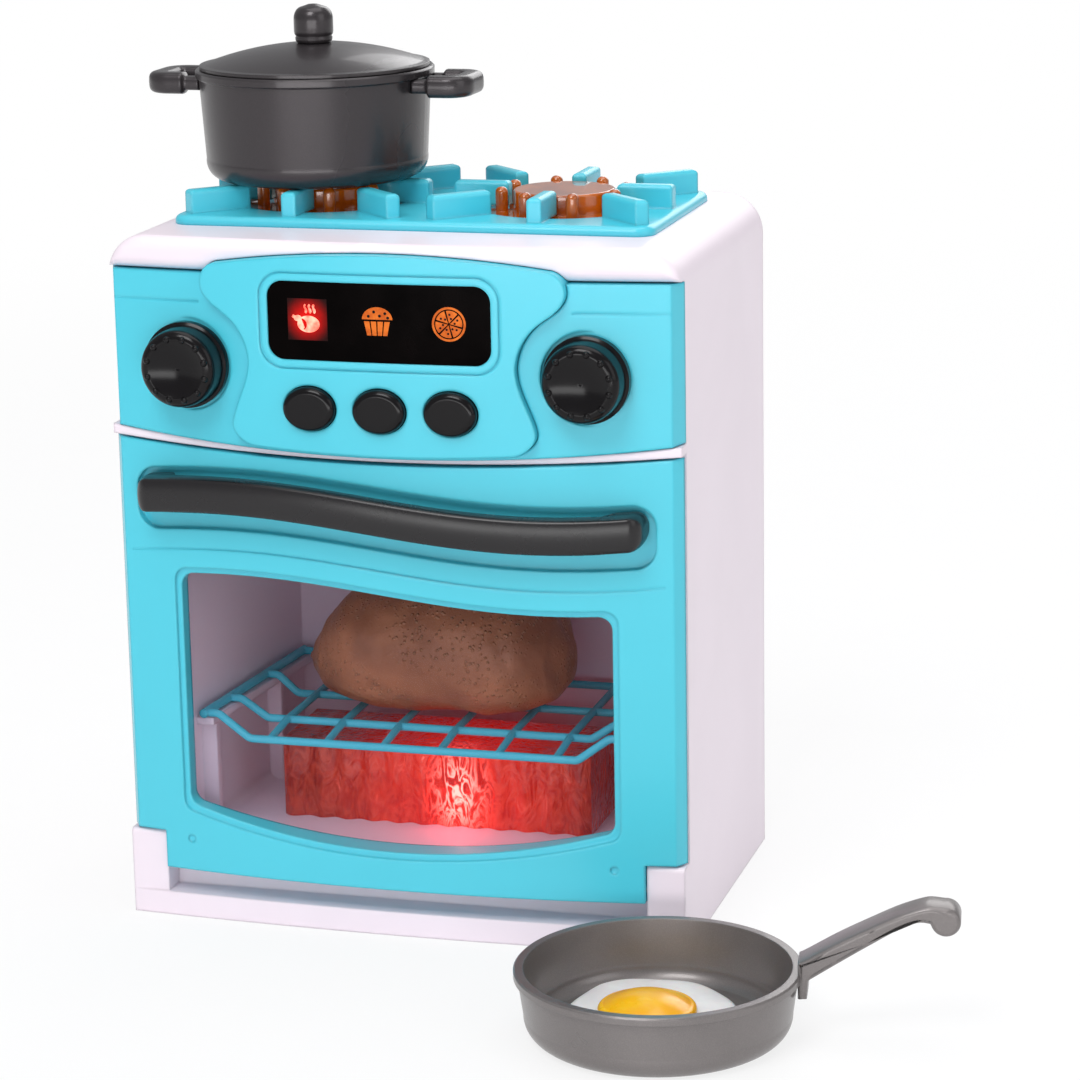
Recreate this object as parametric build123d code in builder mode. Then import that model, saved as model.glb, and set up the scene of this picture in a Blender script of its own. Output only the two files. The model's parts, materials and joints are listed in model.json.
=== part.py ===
"""Toy oven with hob, lit display, drop-down door, rack and its play cookware.

Millimetres. Origin: centre of the casing's footprint on the floor, +Z up.
The front of the oven faces -Y. Every sub-part is written to parts/ as its own STEP.
"""

import os
from math import asin, cos, pi, radians, sin

from build123d import *

os.makedirs("parts", exist_ok=True)

# ---------------------------------------------------------------- driving dimensions
WIDTH = 212.0  # casing, side to side
DEPTH = 136.0  # casing corners, front to back
HEIGHT = 256.0  # floor to the white top
WALL = 2.4  # moulded wall thickness
SLIP = 0.3  # clearance between pieces that must not rub
SEAM = 0.4  # visible joint line between two mouldings
PIN_PLAY = 0.05  # radial clearance of a pin or shaft in its bearing
CORNER_ROUND = 15.0  # top side edges of the casing
CAP_ROUND = 4.5  # front edge of the casing's top

# front
FACE_DEPTH = 7.5  # door and panel thickness at the sides
DOOR_BOW = 8.5  # how far door and panel bulge forward at the middle
CAP_BOW = 7.0
PLINTH_BOW = 4.2
SIDE_DRAFT = 3.0  # how far the coloured front draws in at its sides
PLINTH_TOP = 9.0
POST_INNER = WIDTH / 2 - 14.0  # inner side of the corner posts, from the middle
POST_TOP = 32.5
CAP_BOTTOM = HEIGHT - 11.8

# door
DOOR_BOTTOM = 19.0
DOOR_SIDE_TOP = HEIGHT - 73.7
DOOR_MIDDLE_TOP = DOOR_SIDE_TOP - 4.8
HINGE_UP = 23.0
PIN_RADIUS = 1.6
DOOR_SKIN = 2.6
INNER_FRAME_THICKNESS = 2.2
WINDOW_HALF = WIDTH / 2 - 25.0
WINDOW_MIDDLE_LOW = 33.0
WINDOW_SIDE_LOW = 45.0
WINDOW_DROP = 31.5  # window top below the handle's wave
PANE_THICKNESS = 1.5

# the wave that handle, recess, groove and window top share
WAVE_MIDDLE = DOOR_SIDE_TOP - 21.8
WAVE_HEIGHT = 4.5
WAVE_CREST = -57.0
WAVE_HALF_LENGTH = 117.0

# handle
HANDLE_HALF = WIDTH / 2 - 12.0
HANDLE_TALL = 13.4
HANDLE_THICK = 8.0
HANDLE_STAND = 12.5  # front of the bar beyond the door's face
RECESS_DEEP = 3.2
RECESS_ABOVE = 8.4
RECESS_BELOW = 14.7

# control panel, display console, knobs and buttons
PANEL_SIDE_BOTTOM = DOOR_SIDE_TOP + 4.7
PANEL_MIDDLE_BOTTOM = PANEL_SIDE_BOTTOM - 7.0
KNOB_OUT = WIDTH / 2 - 32.0
KNOB_UP = HEIGHT - 45.2
CONSOLE_RAISE = 3.0
DISPLAY_HALF = KNOB_OUT - 33.0
DISPLAY_TALL = 28.0
DISPLAY_HIGH = HEIGHT - 13.0
LENS_THICKNESS = 2.0
ICON_PITCH = (DISPLAY_HALF - 2.0) / 1.5
ICON_UP = DISPLAY_HIGH - 13.5
BUTTON_UP = HEIGHT - 58.3
BUTTON_PITCH = 26.0
BUTTON_WIDE = 19.5
BUTTON_TALL = 16.0
BUTTON_TRAVEL = 2.0
KNOB_RADIUS = 15.6
KNOB_TALL = 12.5
KNOB_DISH = 2.3  # depth of the hollow in the knob's face
KNOB_SHAFT = 3.0
PIP_RADIUS = 1.25  # raised dots round the knob's face
PIP_RING = KNOB_RADIUS - 4.4
CLICK_TEETH = 12

# oven cavity
CAVITY_HALF = WIDTH / 2 - 22.0
CAVITY_LOW = 30.0
CAVITY_HIGH = DOOR_SIDE_TOP - 22.3
CAVITY_BACK = DEPTH / 2 - 26.0
CAVITY_DRAFT = 8.0  # each side wall draws in this much towards the back
RAIL_UP = 75.0  # height of the rack's side rails
RACK_FRONT_UP = RAIL_UP - 9.0  # the rack's front bar
RACK_BED_UP = RAIL_UP - 7.0  # the rack's other cross bars

# hob
HOB_HALF = WIDTH / 2 - 16.0
HOB_FRONT = 24.0 - DEPTH / 2
HOB_BACK = DEPTH / 2 - 20.0
HOB_THICK = 3.4
BURNER_DRUM = 18.6
BURNER_HOLE = 31.0
PEG_RING = BURNER_DRUM + 4.4
PEG_RADIUS = 2.3
FIN_TALL = 12.0  # top of the fins above the casing
FIN_THICK = 5.4
FIN_REACH = (HOB_BACK - HOB_FRONT) / 2 - 5.0  # outer end of the fins from the burner's middle
FIN_INNER = BURNER_DRUM + 1.9
BURNER_SINK = 2.3  # top of the burner below the top of the fins

# cookware and food
POT_RADIUS = 43.0
POT_TALL = 40.5
LID_RISE = 8.8  # top of the lid above the pot's rim
LID_KNOB_TALL = 14.5
PAN_AT = (WIDTH / 2 + 8.1, -DEPTH / 2 - 73.0)
PAN_RADIUS = 49.0
PAN_TALL = 24.0
PAN_TURN = 8.4  # degrees, direction of the pan's handle from +X
COOK_WALL = 2.0

# back
REAR_COVER = 4.0
CELL_RADIUS = 7.1
CELL_LONG = 50.0
CELL_PITCH = 15.4
BATTERY_UP = 96.0

# ---------------------------------------------------------------- derived planes
HALF = WIDTH / 2
FRONT = -DEPTH / 2
BACK = DEPTH / 2
FACE = FRONT + FACE_DEPTH  # flat white wall behind the door and the panel
SEAM_BACK = BACK - REAR_COVER
INNER_FACE = FACE + WALL
FITTED = FACE - SLIP  # rear plane of the pieces that sit on the front wall
HINGE_Y = FRONT + 2.5
FIN_TOP = HEIGHT + FIN_TALL
BURNER_TOP = FIN_TOP - BURNER_SINK
BURNER_OUT = HOB_HALF - FIN_REACH - 3.0
BURNER_BACK = (HOB_FRONT + HOB_BACK) / 2
POT_AT = (-BURNER_OUT - 2.8, BURNER_BACK + 0.5)
REACH = 120.0  # past every front feature, for cutting outlines


def on_y(y):
    """Sketch plane that stands at depth y; its local axes are X and Z."""
    return Plane.XZ.offset(-y)


def bow_at(x, front, bow):
    """Depth of a bowed front face at the side position x."""
    return front - bow * (1 - (x / HALF) ** 2)


def wave(x, shift=0.0):
    """Height of the handle's wave at the side position x."""
    return WAVE_MIDDLE + shift + WAVE_HEIGHT * cos(pi * (x - WAVE_CREST) / WAVE_HALF_LENGTH)


def bowed_plan(front, bow, back, side_draft=0.0, inset=0.0, back_bow=0.0):
    """Plan of a front piece: bowed front edge, drawn-in sides, straight or bowed back edge."""
    side = HALF - inset
    with BuildLine() as border:
        ThreePointArc((-side + side_draft, front), (0, front - bow), (side - side_draft, front))
        Line((side - side_draft, front), (side, back))
        if back_bow:
            ThreePointArc((side, back), (0, back - back_bow), (-side, back))
        else:
            Line((side, back), (-side, back))
        Line((-side, back), (-side + side_draft, front))
    make_face(border.edges())


def wave_band(below, above, half):
    """Band that follows the wave between two shifts."""
    xs = [half * step / 4 for step in range(-4, 5)]
    with BuildLine() as border:
        Spline(*[(x, wave(x, above)) for x in xs])
        Line((half, wave(half, above)), (half, wave(half, below)))
        Spline(*[(x, wave(x, below)) for x in reversed(xs)])
        Line((-half, wave(-half, below)), (-half, wave(-half, above)))
    make_face(border.edges())


def arched_outline(side_low, middle_low, side_high, middle_high, half):
    """Outline with straight sides and gently arched bottom and top."""
    with BuildLine() as border:
        ThreePointArc((-half, side_low), (0, middle_low), (half, side_low))
        Line((half, side_low), (half, side_high))
        ThreePointArc((half, side_high), (0, middle_high), (-half, side_high))
        Line((-half, side_high), (-half, side_low))
    make_face(border.edges())


def front_slab(plan, low, high, outline):
    """Piece of the bowed front: a plan extruded upwards, trimmed by a front outline."""
    with BuildPart() as slab:
        with BuildSketch(Plane.XY.offset(low)):
            plan()
        extrude(amount=high - low)
        with BuildSketch(Plane.XZ):
            outline()
        extrude(amount=REACH, both=True, mode=Mode.INTERSECT)
    return slab.part


def save(piece, name):
    """Label a finished part and write it under its own name."""
    piece.part.label = name
    export_step(piece.part, f"parts/{name}.step")


# ---------------------------------------------------------------- outlines of the front
def casing_outline(inset=0.0):
    with Locations((0, inset)):
        Rectangle(WIDTH - 2 * inset, HEIGHT - 2 * inset, align=(Align.CENTER, Align.MIN))
    fillet(vertices().group_by(Axis.Y)[-1], CORNER_ROUND - inset)


def door_outline(inset=0.0):
    side = HALF - inset
    notch = POST_INNER - SEAM - inset
    low = DOOR_BOTTOM + inset
    step = POST_TOP + 2 * SEAM + inset
    high = DOOR_SIDE_TOP - inset
    with BuildLine() as border:
        Polyline((-side, high), (-side, step), (-notch, step), (-notch, low), (notch, low))
        Polyline((notch, low), (notch, step), (side, step), (side, high))
        ThreePointArc((side, high), (0, DOOR_MIDDLE_TOP - inset), (-side, high))
    make_face(border.edges())


def window_outline(grow=0.0):
    half = WINDOW_HALF + grow
    top = grow - WINDOW_DROP
    side_low = WINDOW_SIDE_LOW - grow
    xs = [half * step / 4 for step in range(-4, 5)]
    with BuildLine() as border:
        Spline(*[(x, wave(x, top)) for x in xs])
        Line((half, wave(half, top)), (half, side_low))
        ThreePointArc((half, side_low), (0, WINDOW_MIDDLE_LOW - grow), (-half, side_low))
        Line((-half, side_low), (-half, wave(-half, top)))
    make_face(border.edges())
    fillet(vertices(), 5.0)


def panel_outline(inset=0.0):
    half = HALF - inset
    low = PANEL_SIDE_BOTTOM + inset
    high = CAP_BOTTOM - SEAM - inset
    with BuildLine() as border:
        ThreePointArc((-half, low), (0, PANEL_MIDDLE_BOTTOM + inset), (half, low))
        Polyline((half, low), (half, high), (-half, high), (-half, low))
    make_face(border.edges())


def console_outline(grow=0.0):
    """Badge round the display: waisted beside the knobs, wide at its top."""
    # sideways from the knob's axis, down from the casing's top
    side = [
        (13.5, 7.6),
        (8.4, 10.4),
        (7.0, 16.0),
        (10.4, 21.7),
        (17.0, 26.6),
        (23.0, 34.5),
        (24.8, 42.2),
        (23.0, 51.0),
        (19.0, 61.0),
        (18.1, 66.5),
        (21.4, 71.0),
        (27.5, 73.1),
    ]
    side = [(KNOB_OUT - inward, HEIGHT - down) for inward, down in side]
    right = [(x + grow, z) for x, z in side]
    right[0] = (side[0][0], side[0][1] + grow)
    right[-1] = (side[-1][0], side[-1][1] - grow)
    left = [(-x, z) for x, z in reversed(right)]
    with BuildLine() as border:
        ThreePointArc(left[-1], (0, HEIGHT - 3.2 + grow), right[0])
        Spline(*right)
        ThreePointArc(right[-1], (0, HEIGHT - 74.9 - grow), left[0])
        Spline(*left)
    make_face(border.edges())


def upright_at(x, y, turn=0.0):
    """Upright plane through (x, y): local X points sideways, local Y up."""
    across = (cos(radians(turn)), sin(radians(turn)), 0)
    towards = (sin(radians(turn)), -cos(radians(turn)), 0)
    return Plane(origin=(x, y, 0), x_dir=across, z_dir=towards)


def crown(reach, low, top):
    """Arc from the point (reach, low) to the axis at height top, with its centre on the axis."""
    rise = top - low
    radius = (reach**2 + rise**2) / (2 * rise)
    half_turn = asin(reach / radius) / 2
    middle = (radius * sin(half_turn), top - radius * (1 - cos(half_turn)))
    ThreePointArc((reach, low), middle, (0, top))


def skin_cut(depth, outline):
    """Shallow cut that follows the bowed face of door and panel to an even depth."""
    return front_slab(
        lambda: bowed_plan(FRONT - 20, DOOR_BOW, FRONT + depth, back_bow=DOOR_BOW),
        0,
        HEIGHT,
        outline,
    )


# ---------------------------------------------------------------- casing
LINER_FLANGE = 1.8
RELIEF = 2.0  # set-back of the white wall behind the foot of the door
RELIEF_TOP = HINGE_UP + 2.0
BOARD_WIDE = 2 * (KNOB_OUT - 19.0)
BOARD_LOW = HEIGHT - 67.0
BOARD_HIGH = HEIGHT - 9.0
BOARD_THICK = 1.6
BOARD_FRONT = INNER_FACE + 2.1
DISPLAY_OPENING = 2 * (DISPLAY_HALF + 7.0)
SPRING_POST = 12.0  # each post of a click spring, sideways from the knob's axis
SPRING_UP = 13.8  # top of the click spring above the knob's axis
SPRING_THICK = 0.7
COVER_SCREWS = [(x, z) for x in (5.8 - HALF, HALF - 5.8) for z in (14.0, HEIGHT - 20.0)]

strip = front_slab(
    lambda: bowed_plan(FRONT + 1.0, CAP_BOW, FACE),
    PANEL_MIDDLE_BOTTOM - 10,
    PANEL_SIDE_BOTTOM + 10,
    lambda: arched_outline(
        DOOR_SIDE_TOP + 2 * SEAM,
        DOOR_MIDDLE_TOP + 2 * SEAM,
        PANEL_SIDE_BOTTOM - SEAM,
        PANEL_MIDDLE_BOTTOM - SEAM,
        HALF,
    ),
)
console_space = front_slab(
    lambda: bowed_plan(FRONT - 20, DOOR_BOW, FACE), 0, HEIGHT + 5, lambda: console_outline(SLIP)
)

with BuildPart() as casing:
    # bowed white bands and corner posts of the front
    with BuildSketch(Plane.XY.offset(CAP_BOTTOM)):
        bowed_plan(FRONT, CAP_BOW, FACE)
    extrude(amount=HEIGHT - CAP_BOTTOM)
    with BuildSketch(Plane.XY):
        bowed_plan(FRONT, PLINTH_BOW, FACE)
    extrude(amount=PLINTH_TOP)
    with BuildSketch(on_y(FACE)):
        with Locations((-(POST_INNER + HALF) / 2, 0), ((POST_INNER + HALF) / 2, 0)):
            Rectangle(HALF - POST_INNER, POST_TOP, align=(Align.CENTER, Align.MIN))
    extrude(amount=FACE_DEPTH)
    with BuildSketch(Plane.XZ):
        casing_outline()
    extrude(amount=REACH, both=True, mode=Mode.INTERSECT)
    cap_edges = edges().filter_by_position(Axis.Z, HEIGHT - CORNER_ROUND, HEIGHT + 1)
    cap_corners = cap_edges.filter_by(GeomType.CIRCLE).group_by(Axis.Y)[0]
    fillet(cap_edges.group_by(Axis.Y)[0] + cap_corners, CAP_ROUND)
    level_faces = faces().filter_by(Plane.XY)
    post_tops = level_faces.filter_by_position(Axis.Z, POST_TOP - 0.1, POST_TOP + 0.1)
    for post_top in post_tops:
        fillet(post_top.edges().sort_by(Axis.Y)[0], 1.5)
    add(strip)
    # sides, top and floor, open at the back
    with BuildSketch(on_y(SEAM_BACK)):
        casing_outline()
    extrude(amount=SEAM_BACK - FACE)
    with BuildSketch(on_y(SEAM_BACK)):
        casing_outline(WALL)
    extrude(amount=SEAM_BACK - INNER_FACE, mode=Mode.SUBTRACT)
    # thicker wall behind the foot of the door, then the relief that the door's foot swings in
    with BuildSketch(on_y(INNER_FACE + WALL)):
        with Locations((0, WALL)):
            Rectangle(2 * POST_INNER, RELIEF_TOP + 1 - WALL, align=(Align.CENTER, Align.MIN))
    extrude(amount=WALL)
    with BuildSketch(on_y(FACE + RELIEF)):
        with Locations((0, PLINTH_TOP)):
            Rectangle(2 * POST_INNER, RELIEF_TOP - PLINTH_TOP, align=(Align.CENTER, Align.MIN))
    extrude(amount=RELIEF, mode=Mode.SUBTRACT)
    # bearings of the door's pins
    for side in (-1, 1):
        with BuildSketch(Plane.YZ.offset(side * POST_INNER)):
            with Locations((HINGE_Y, HINGE_UP)):
                Circle(PIN_RADIUS + PIN_PLAY)
        extrude(amount=side * 7.5, mode=Mode.SUBTRACT)
    # seat of the display console, oven mouth, board opening and knob bearings
    add(console_space, mode=Mode.SUBTRACT)
    with BuildSketch(on_y(INNER_FACE)):
        with Locations((0, (CAVITY_LOW + CAVITY_HIGH) / 2)):
            RectangleRounded(2 * CAVITY_HALF, CAVITY_HIGH - CAVITY_LOW, 4.0)
        with Locations((0, (BOARD_LOW + BOARD_HIGH - 1.5) / 2)):
            Rectangle(DISPLAY_OPENING, BOARD_HIGH - BOARD_LOW - 3.5)
        with Locations((-KNOB_OUT, KNOB_UP), (KNOB_OUT, KNOB_UP)):
            Circle(KNOB_SHAFT + PIN_PLAY)
    extrude(amount=WALL, mode=Mode.SUBTRACT)
    # bosses for the board and posts for the click springs
    with BuildSketch(on_y(BOARD_FRONT)):
        with GridLocations(BOARD_WIDE - 7, BOARD_HIGH - BOARD_LOW - 8, 2, 2):
            with Locations((0, (BOARD_LOW + BOARD_HIGH) / 2)):
                Circle(2.5)
    extrude(amount=BOARD_FRONT - INNER_FACE)
    with BuildSketch(on_y(INNER_FACE + 4)):
        for side in (-1, 1):
            with Locations((side * KNOB_OUT - SPRING_POST, KNOB_UP + SPRING_UP + 2.1)):
                Circle(2.0)
            with Locations((side * KNOB_OUT + SPRING_POST, KNOB_UP + SPRING_UP + 2.1)):
                Circle(2.0)
    extrude(amount=4)
    # screw bosses of the rear cover, along the side walls
    with BuildSketch(on_y(SEAM_BACK)):
        with Locations(*COVER_SCREWS):
            Circle(3.6)
    extrude(amount=SEAM_BACK - INNER_FACE)
    with BuildSketch(on_y(SEAM_BACK)):
        with Locations(*COVER_SCREWS):
            Circle(1.35)
    extrude(amount=14, mode=Mode.SUBTRACT)
    # light wells under the burners
    with BuildSketch(Plane.XY.offset(HEIGHT)):
        with Locations((-BURNER_OUT, BURNER_BACK), (BURNER_OUT, BURNER_BACK)):
            Circle(BURNER_HOLE)
    extrude(amount=-WALL, mode=Mode.SUBTRACT)
save(casing, "casing")

# ---------------------------------------------------------------- rear cover and what it carries
BOX_HALF_WIDE = 27.0
BOX_HALF_TALL = 23.6
BOX_SCREW = 33.5
BOX_BACK_WALL = 1.6
BOX_WALL = 1.8
CELL_AXIS = SEAM_BACK - 8.4
BOX_FRONT = CELL_AXIS - CELL_RADIUS - 0.3 - BOX_BACK_WALL
DOOR_LEFT = -29.5
DOOR_RIGHT = 38.5
SPEAKER_AT = (-60.0, HEIGHT - 51.0)
SWITCH_AT = (60.0, HEIGHT - 51.0)
SWITCH_TRAVEL = 4.0
LIP_PLAY = 0.15
LIP_INNER = WALL + 1.6  # inner side of the rear cover's lip, from the casing's outside

with BuildPart() as rear_cover:
    with BuildSketch(on_y(BACK)):
        casing_outline()
    extrude(amount=REAR_COVER)
    fillet(faces().sort_by(Axis.Y)[-1].edges().sort_by(Axis.Z)[1:], 3.4)
    # lip that centres the cover in the casing
    with BuildSketch(on_y(SEAM_BACK)):
        casing_outline(WALL + LIP_PLAY)
        with Locations((0, LIP_INNER)):
            Rectangle(
                WIDTH - 2 * LIP_INNER,
                HEIGHT - 2 * LIP_INNER,
                align=(Align.CENTER, Align.MIN),
                mode=Mode.SUBTRACT,
            )
        with Locations(*COVER_SCREWS):
            Circle(4.4, mode=Mode.SUBTRACT)
    extrude(amount=3.0)
    with BuildSketch(on_y(BACK)):
        with Locations(((DOOR_LEFT + DOOR_RIGHT) / 2, BATTERY_UP)):
            RectangleRounded(DOOR_RIGHT - DOOR_LEFT, 2 * BOX_HALF_TALL + 4, 3.0)
        with Locations(SWITCH_AT):
            Rectangle(SWITCH_TRAVEL + 5.2, 4.6)
        with Locations(SPEAKER_AT):
            Circle(1.3)
            for ring, count in ((5.0, 6), (10.0, 12), (14.5, 18)):
                with PolarLocations(ring, count):
                    Circle(1.3)
        with Locations(*COVER_SCREWS):
            Circle(1.5)
    extrude(amount=REAR_COVER, mode=Mode.SUBTRACT)
    with BuildSketch(on_y(BACK)):
        with Locations(*COVER_SCREWS):
            Circle(3.2)
    extrude(amount=1.8, mode=Mode.SUBTRACT)
save(rear_cover, "rear_cover")

with BuildPart() as rear_cover_screws:
    with BuildSketch(on_y(BACK - 0.2)):
        with Locations(*COVER_SCREWS):
            Circle(2.9)
    extrude(amount=1.6)
    with BuildSketch(on_y(BACK - 1.8)):
        with Locations(*COVER_SCREWS):
            Circle(1.3)
    extrude(amount=12)
    with BuildSketch(on_y(BACK - 0.2)):
        with Locations(*COVER_SCREWS):
            Rectangle(3.6, 0.8)
            Rectangle(0.8, 3.6)
    extrude(amount=0.9, mode=Mode.SUBTRACT)
save(rear_cover_screws, "rear_cover_screws")

with BuildPart() as battery_box:
    with BuildSketch(on_y(SEAM_BACK)):
        with Locations((0, BATTERY_UP)):
            Rectangle(2 * (BOX_HALF_WIDE + BOX_WALL), 2 * (BOX_HALF_TALL + BOX_WALL))
    extrude(amount=SEAM_BACK - BOX_FRONT)
    # flange glued behind the rear cover, with the boss of the battery door's screw
    with BuildSketch(on_y(SEAM_BACK)):
        with Locations((4.5, BATTERY_UP)):
            Rectangle(78, 2 * BOX_HALF_TALL + 10)
    extrude(amount=1.6)
    with BuildSketch(on_y(SEAM_BACK)):
        with Locations((BOX_SCREW, BATTERY_UP)):
            Circle(3.4)
    extrude(amount=8)
    with BuildSketch(on_y(SEAM_BACK)):
        with Locations((0, BATTERY_UP)):
            Rectangle(2 * BOX_HALF_WIDE, 2 * BOX_HALF_TALL)
    extrude(amount=SEAM_BACK - BOX_FRONT - BOX_BACK_WALL, mode=Mode.SUBTRACT)
    with BuildSketch(on_y(SEAM_BACK)):
        with Locations((BOX_SCREW, BATTERY_UP)):
            Circle(1.25)
    extrude(amount=7, mode=Mode.SUBTRACT)
save(battery_box, "battery_box")

CELL_ROWS = [BATTERY_UP + CELL_PITCH * row for row in (-1, 0, 1)]
with BuildPart() as batteries:
    for row, up in enumerate(CELL_ROWS):
        plus = 1 if row % 2 == 0 else -1
        with BuildSketch(Plane.YZ.offset(-plus * CELL_LONG / 2)):
            with Locations((CELL_AXIS, up)):
                Circle(CELL_RADIUS)
        extrude(amount=plus * (CELL_LONG - 1))
        with BuildSketch(Plane.YZ.offset(plus * (CELL_LONG / 2 - 1))):
            with Locations((CELL_AXIS, up)):
                Circle(2.7)
        extrude(amount=plus)
save(batteries, "batteries")

with BuildPart() as battery_contacts:
    for side in (-1, 1):
        with BuildSketch(Plane.YZ.offset(side * BOX_HALF_WIDE)):
            with Locations(*[(CELL_AXIS, up) for up in CELL_ROWS]):
                Rectangle(12, 12)
        extrude(amount=-side * 0.5)
        with BuildSketch(Plane.YZ.offset(side * (BOX_HALF_WIDE - 0.5))):
            with Locations(*[(CELL_AXIS, up) for up in CELL_ROWS]):
                Circle(3.6)
        extrude(amount=-side * 1.4, taper=30)
save(battery_contacts, "battery_contacts")

with BuildPart() as battery_door:
    with BuildSketch(on_y(BACK)):
        with Locations(((DOOR_LEFT + DOOR_RIGHT) / 2, BATTERY_UP)):
            RectangleRounded(
                DOOR_RIGHT - DOOR_LEFT - 2 * SLIP,
                2 * BOX_HALF_TALL + 4 - 2 * SLIP,
                3.0 - SLIP,
            )
    extrude(amount=REAR_COVER)
    # pocket inside and finger ribs outside
    with BuildSketch(on_y(SEAM_BACK + 2)):
        with Locations((0, BATTERY_UP)):
            Rectangle(2 * BOX_HALF_WIDE - 4, 2 * BOX_HALF_TALL - 4)
    extrude(amount=2, mode=Mode.SUBTRACT)
    with BuildSketch(on_y(BACK)):
        with GridLocations(0, 3, 1, 5):
            with Locations((-20, BATTERY_UP)):
                Rectangle(10, 1.2)
        with Locations((BOX_SCREW, BATTERY_UP)):
            Circle(3.1)
    extrude(amount=0.8, mode=Mode.SUBTRACT)
    with BuildSketch(on_y(BACK)):
        with Locations((BOX_SCREW, BATTERY_UP)):
            Circle(1.5)
    extrude(amount=REAR_COVER, mode=Mode.SUBTRACT)
save(battery_door, "battery_door")

with BuildPart() as battery_door_screw:
    with BuildSketch(on_y(BACK)):
        with Locations((BOX_SCREW, BATTERY_UP)):
            Circle(2.8)
    extrude(amount=0.8)
    with BuildSketch(on_y(BACK - 0.8)):
        with Locations((BOX_SCREW, BATTERY_UP)):
            Circle(1.2)
    extrude(amount=9)
    with BuildSketch(on_y(BACK)):
        with Locations((BOX_SCREW, BATTERY_UP)):
            Rectangle(3.4, 0.7)
            Rectangle(0.7, 3.4)
    extrude(amount=0.5, mode=Mode.SUBTRACT)
save(battery_door_screw, "battery_door_screw")

with BuildPart() as speaker:
    with BuildSketch(on_y(SEAM_BACK)):
        with Locations(SPEAKER_AT):
            Circle(18)
    extrude(amount=2.5)
    with BuildSketch(on_y(SEAM_BACK - 2.5)):
        with Locations(SPEAKER_AT):
            Circle(16)
    extrude(amount=4, taper=40)
    with BuildSketch(on_y(SEAM_BACK - 6.5)):
        with Locations(SPEAKER_AT):
            Circle(8)
    extrude(amount=4)
save(speaker, "speaker")

with BuildPart() as power_switch:
    with BuildSketch(on_y(SEAM_BACK)):
        with Locations(SWITCH_AT):
            Rectangle(20, 8)
    extrude(amount=6)
    with BuildSketch(on_y(SEAM_BACK)):
        with Locations(SWITCH_AT):
            Rectangle(SWITCH_TRAVEL + 5.2, 4.6)
    extrude(amount=2.2, mode=Mode.SUBTRACT)
save(power_switch, "power_switch")

with BuildPart() as power_switch_slider:
    with BuildSketch(on_y(BACK + 0.8)):
        with Locations((SWITCH_AT[0] - SWITCH_TRAVEL / 2, SWITCH_AT[1])):
            Rectangle(4.6, 4.0)
    extrude(amount=REAR_COVER + 0.8 + 2.0)
    with BuildSketch(on_y(BACK + 0.8)):
        with Locations((SWITCH_AT[0] - SWITCH_TRAVEL / 2, SWITCH_AT[1])):
            with GridLocations(1.3, 0, 3, 1):
                Rectangle(0.5, 4.0)
    extrude(amount=0.4, mode=Mode.SUBTRACT)
save(power_switch_slider, "power_switch_slider")

# ---------------------------------------------------------------- door
DOOR_SEAM = FITTED - INNER_FRAME_THICKNESS
RIM = 5.0  # solid border round the window
GROOVE_DEEP = 0.6
SCREW_OUT = HALF - 10.5
FOOT_SCREW_OUT = WINDOW_HALF - 21.0
DOOR_SCREWS = [(x, z) for x in (-SCREW_OUT, SCREW_OUT) for z in (46.0, WAVE_MIDDLE - 33.5)]
DOOR_SCREWS += [(x, HINGE_UP + 4.8) for x in (-FOOT_SCREW_OUT, FOOT_SCREW_OUT)]
DIMPLE_OUT = HALF - 25.2
HANDLE_SCREWS = [(x, wave(x)) for x in (6.0 - HANDLE_HALF, HANDLE_HALF - 6.0)]
PIN_LONG = 17.0
PIN_OUTER = POST_INNER + 7.0


def recess_outline(grow=0.0):
    wave_band(-RECESS_BELOW - grow, RECESS_ABOVE + grow, HANDLE_HALF + 3 + grow)
    fillet(vertices(), 8.0)


with BuildPart() as door_pocket:
    add(
        front_slab(
            lambda: bowed_plan(FRONT + DOOR_SKIN, DOOR_BOW, DOOR_SEAM, SIDE_DRAFT, DOOR_SKIN),
            DOOR_BOTTOM,
            DOOR_SIDE_TOP,
            lambda: door_outline(DOOR_SKIN),
        )
    )
    with BuildSketch(Plane.XZ):
        window_outline(RIM)
    extrude(amount=REACH, both=True, mode=Mode.SUBTRACT)
    with BuildSketch(Plane.XZ):
        recess_outline(DOOR_SKIN)
    extrude(amount=REACH, both=True, mode=Mode.SUBTRACT)
    with BuildSketch(Plane.XZ):
        with Locations((-POST_INNER + 8, HINGE_UP), (POST_INNER - 8, HINGE_UP)):
            Rectangle(18, 12)
        with Locations(*DOOR_SCREWS):
            Circle(3.2)
    extrude(amount=REACH, both=True, mode=Mode.SUBTRACT)

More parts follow.
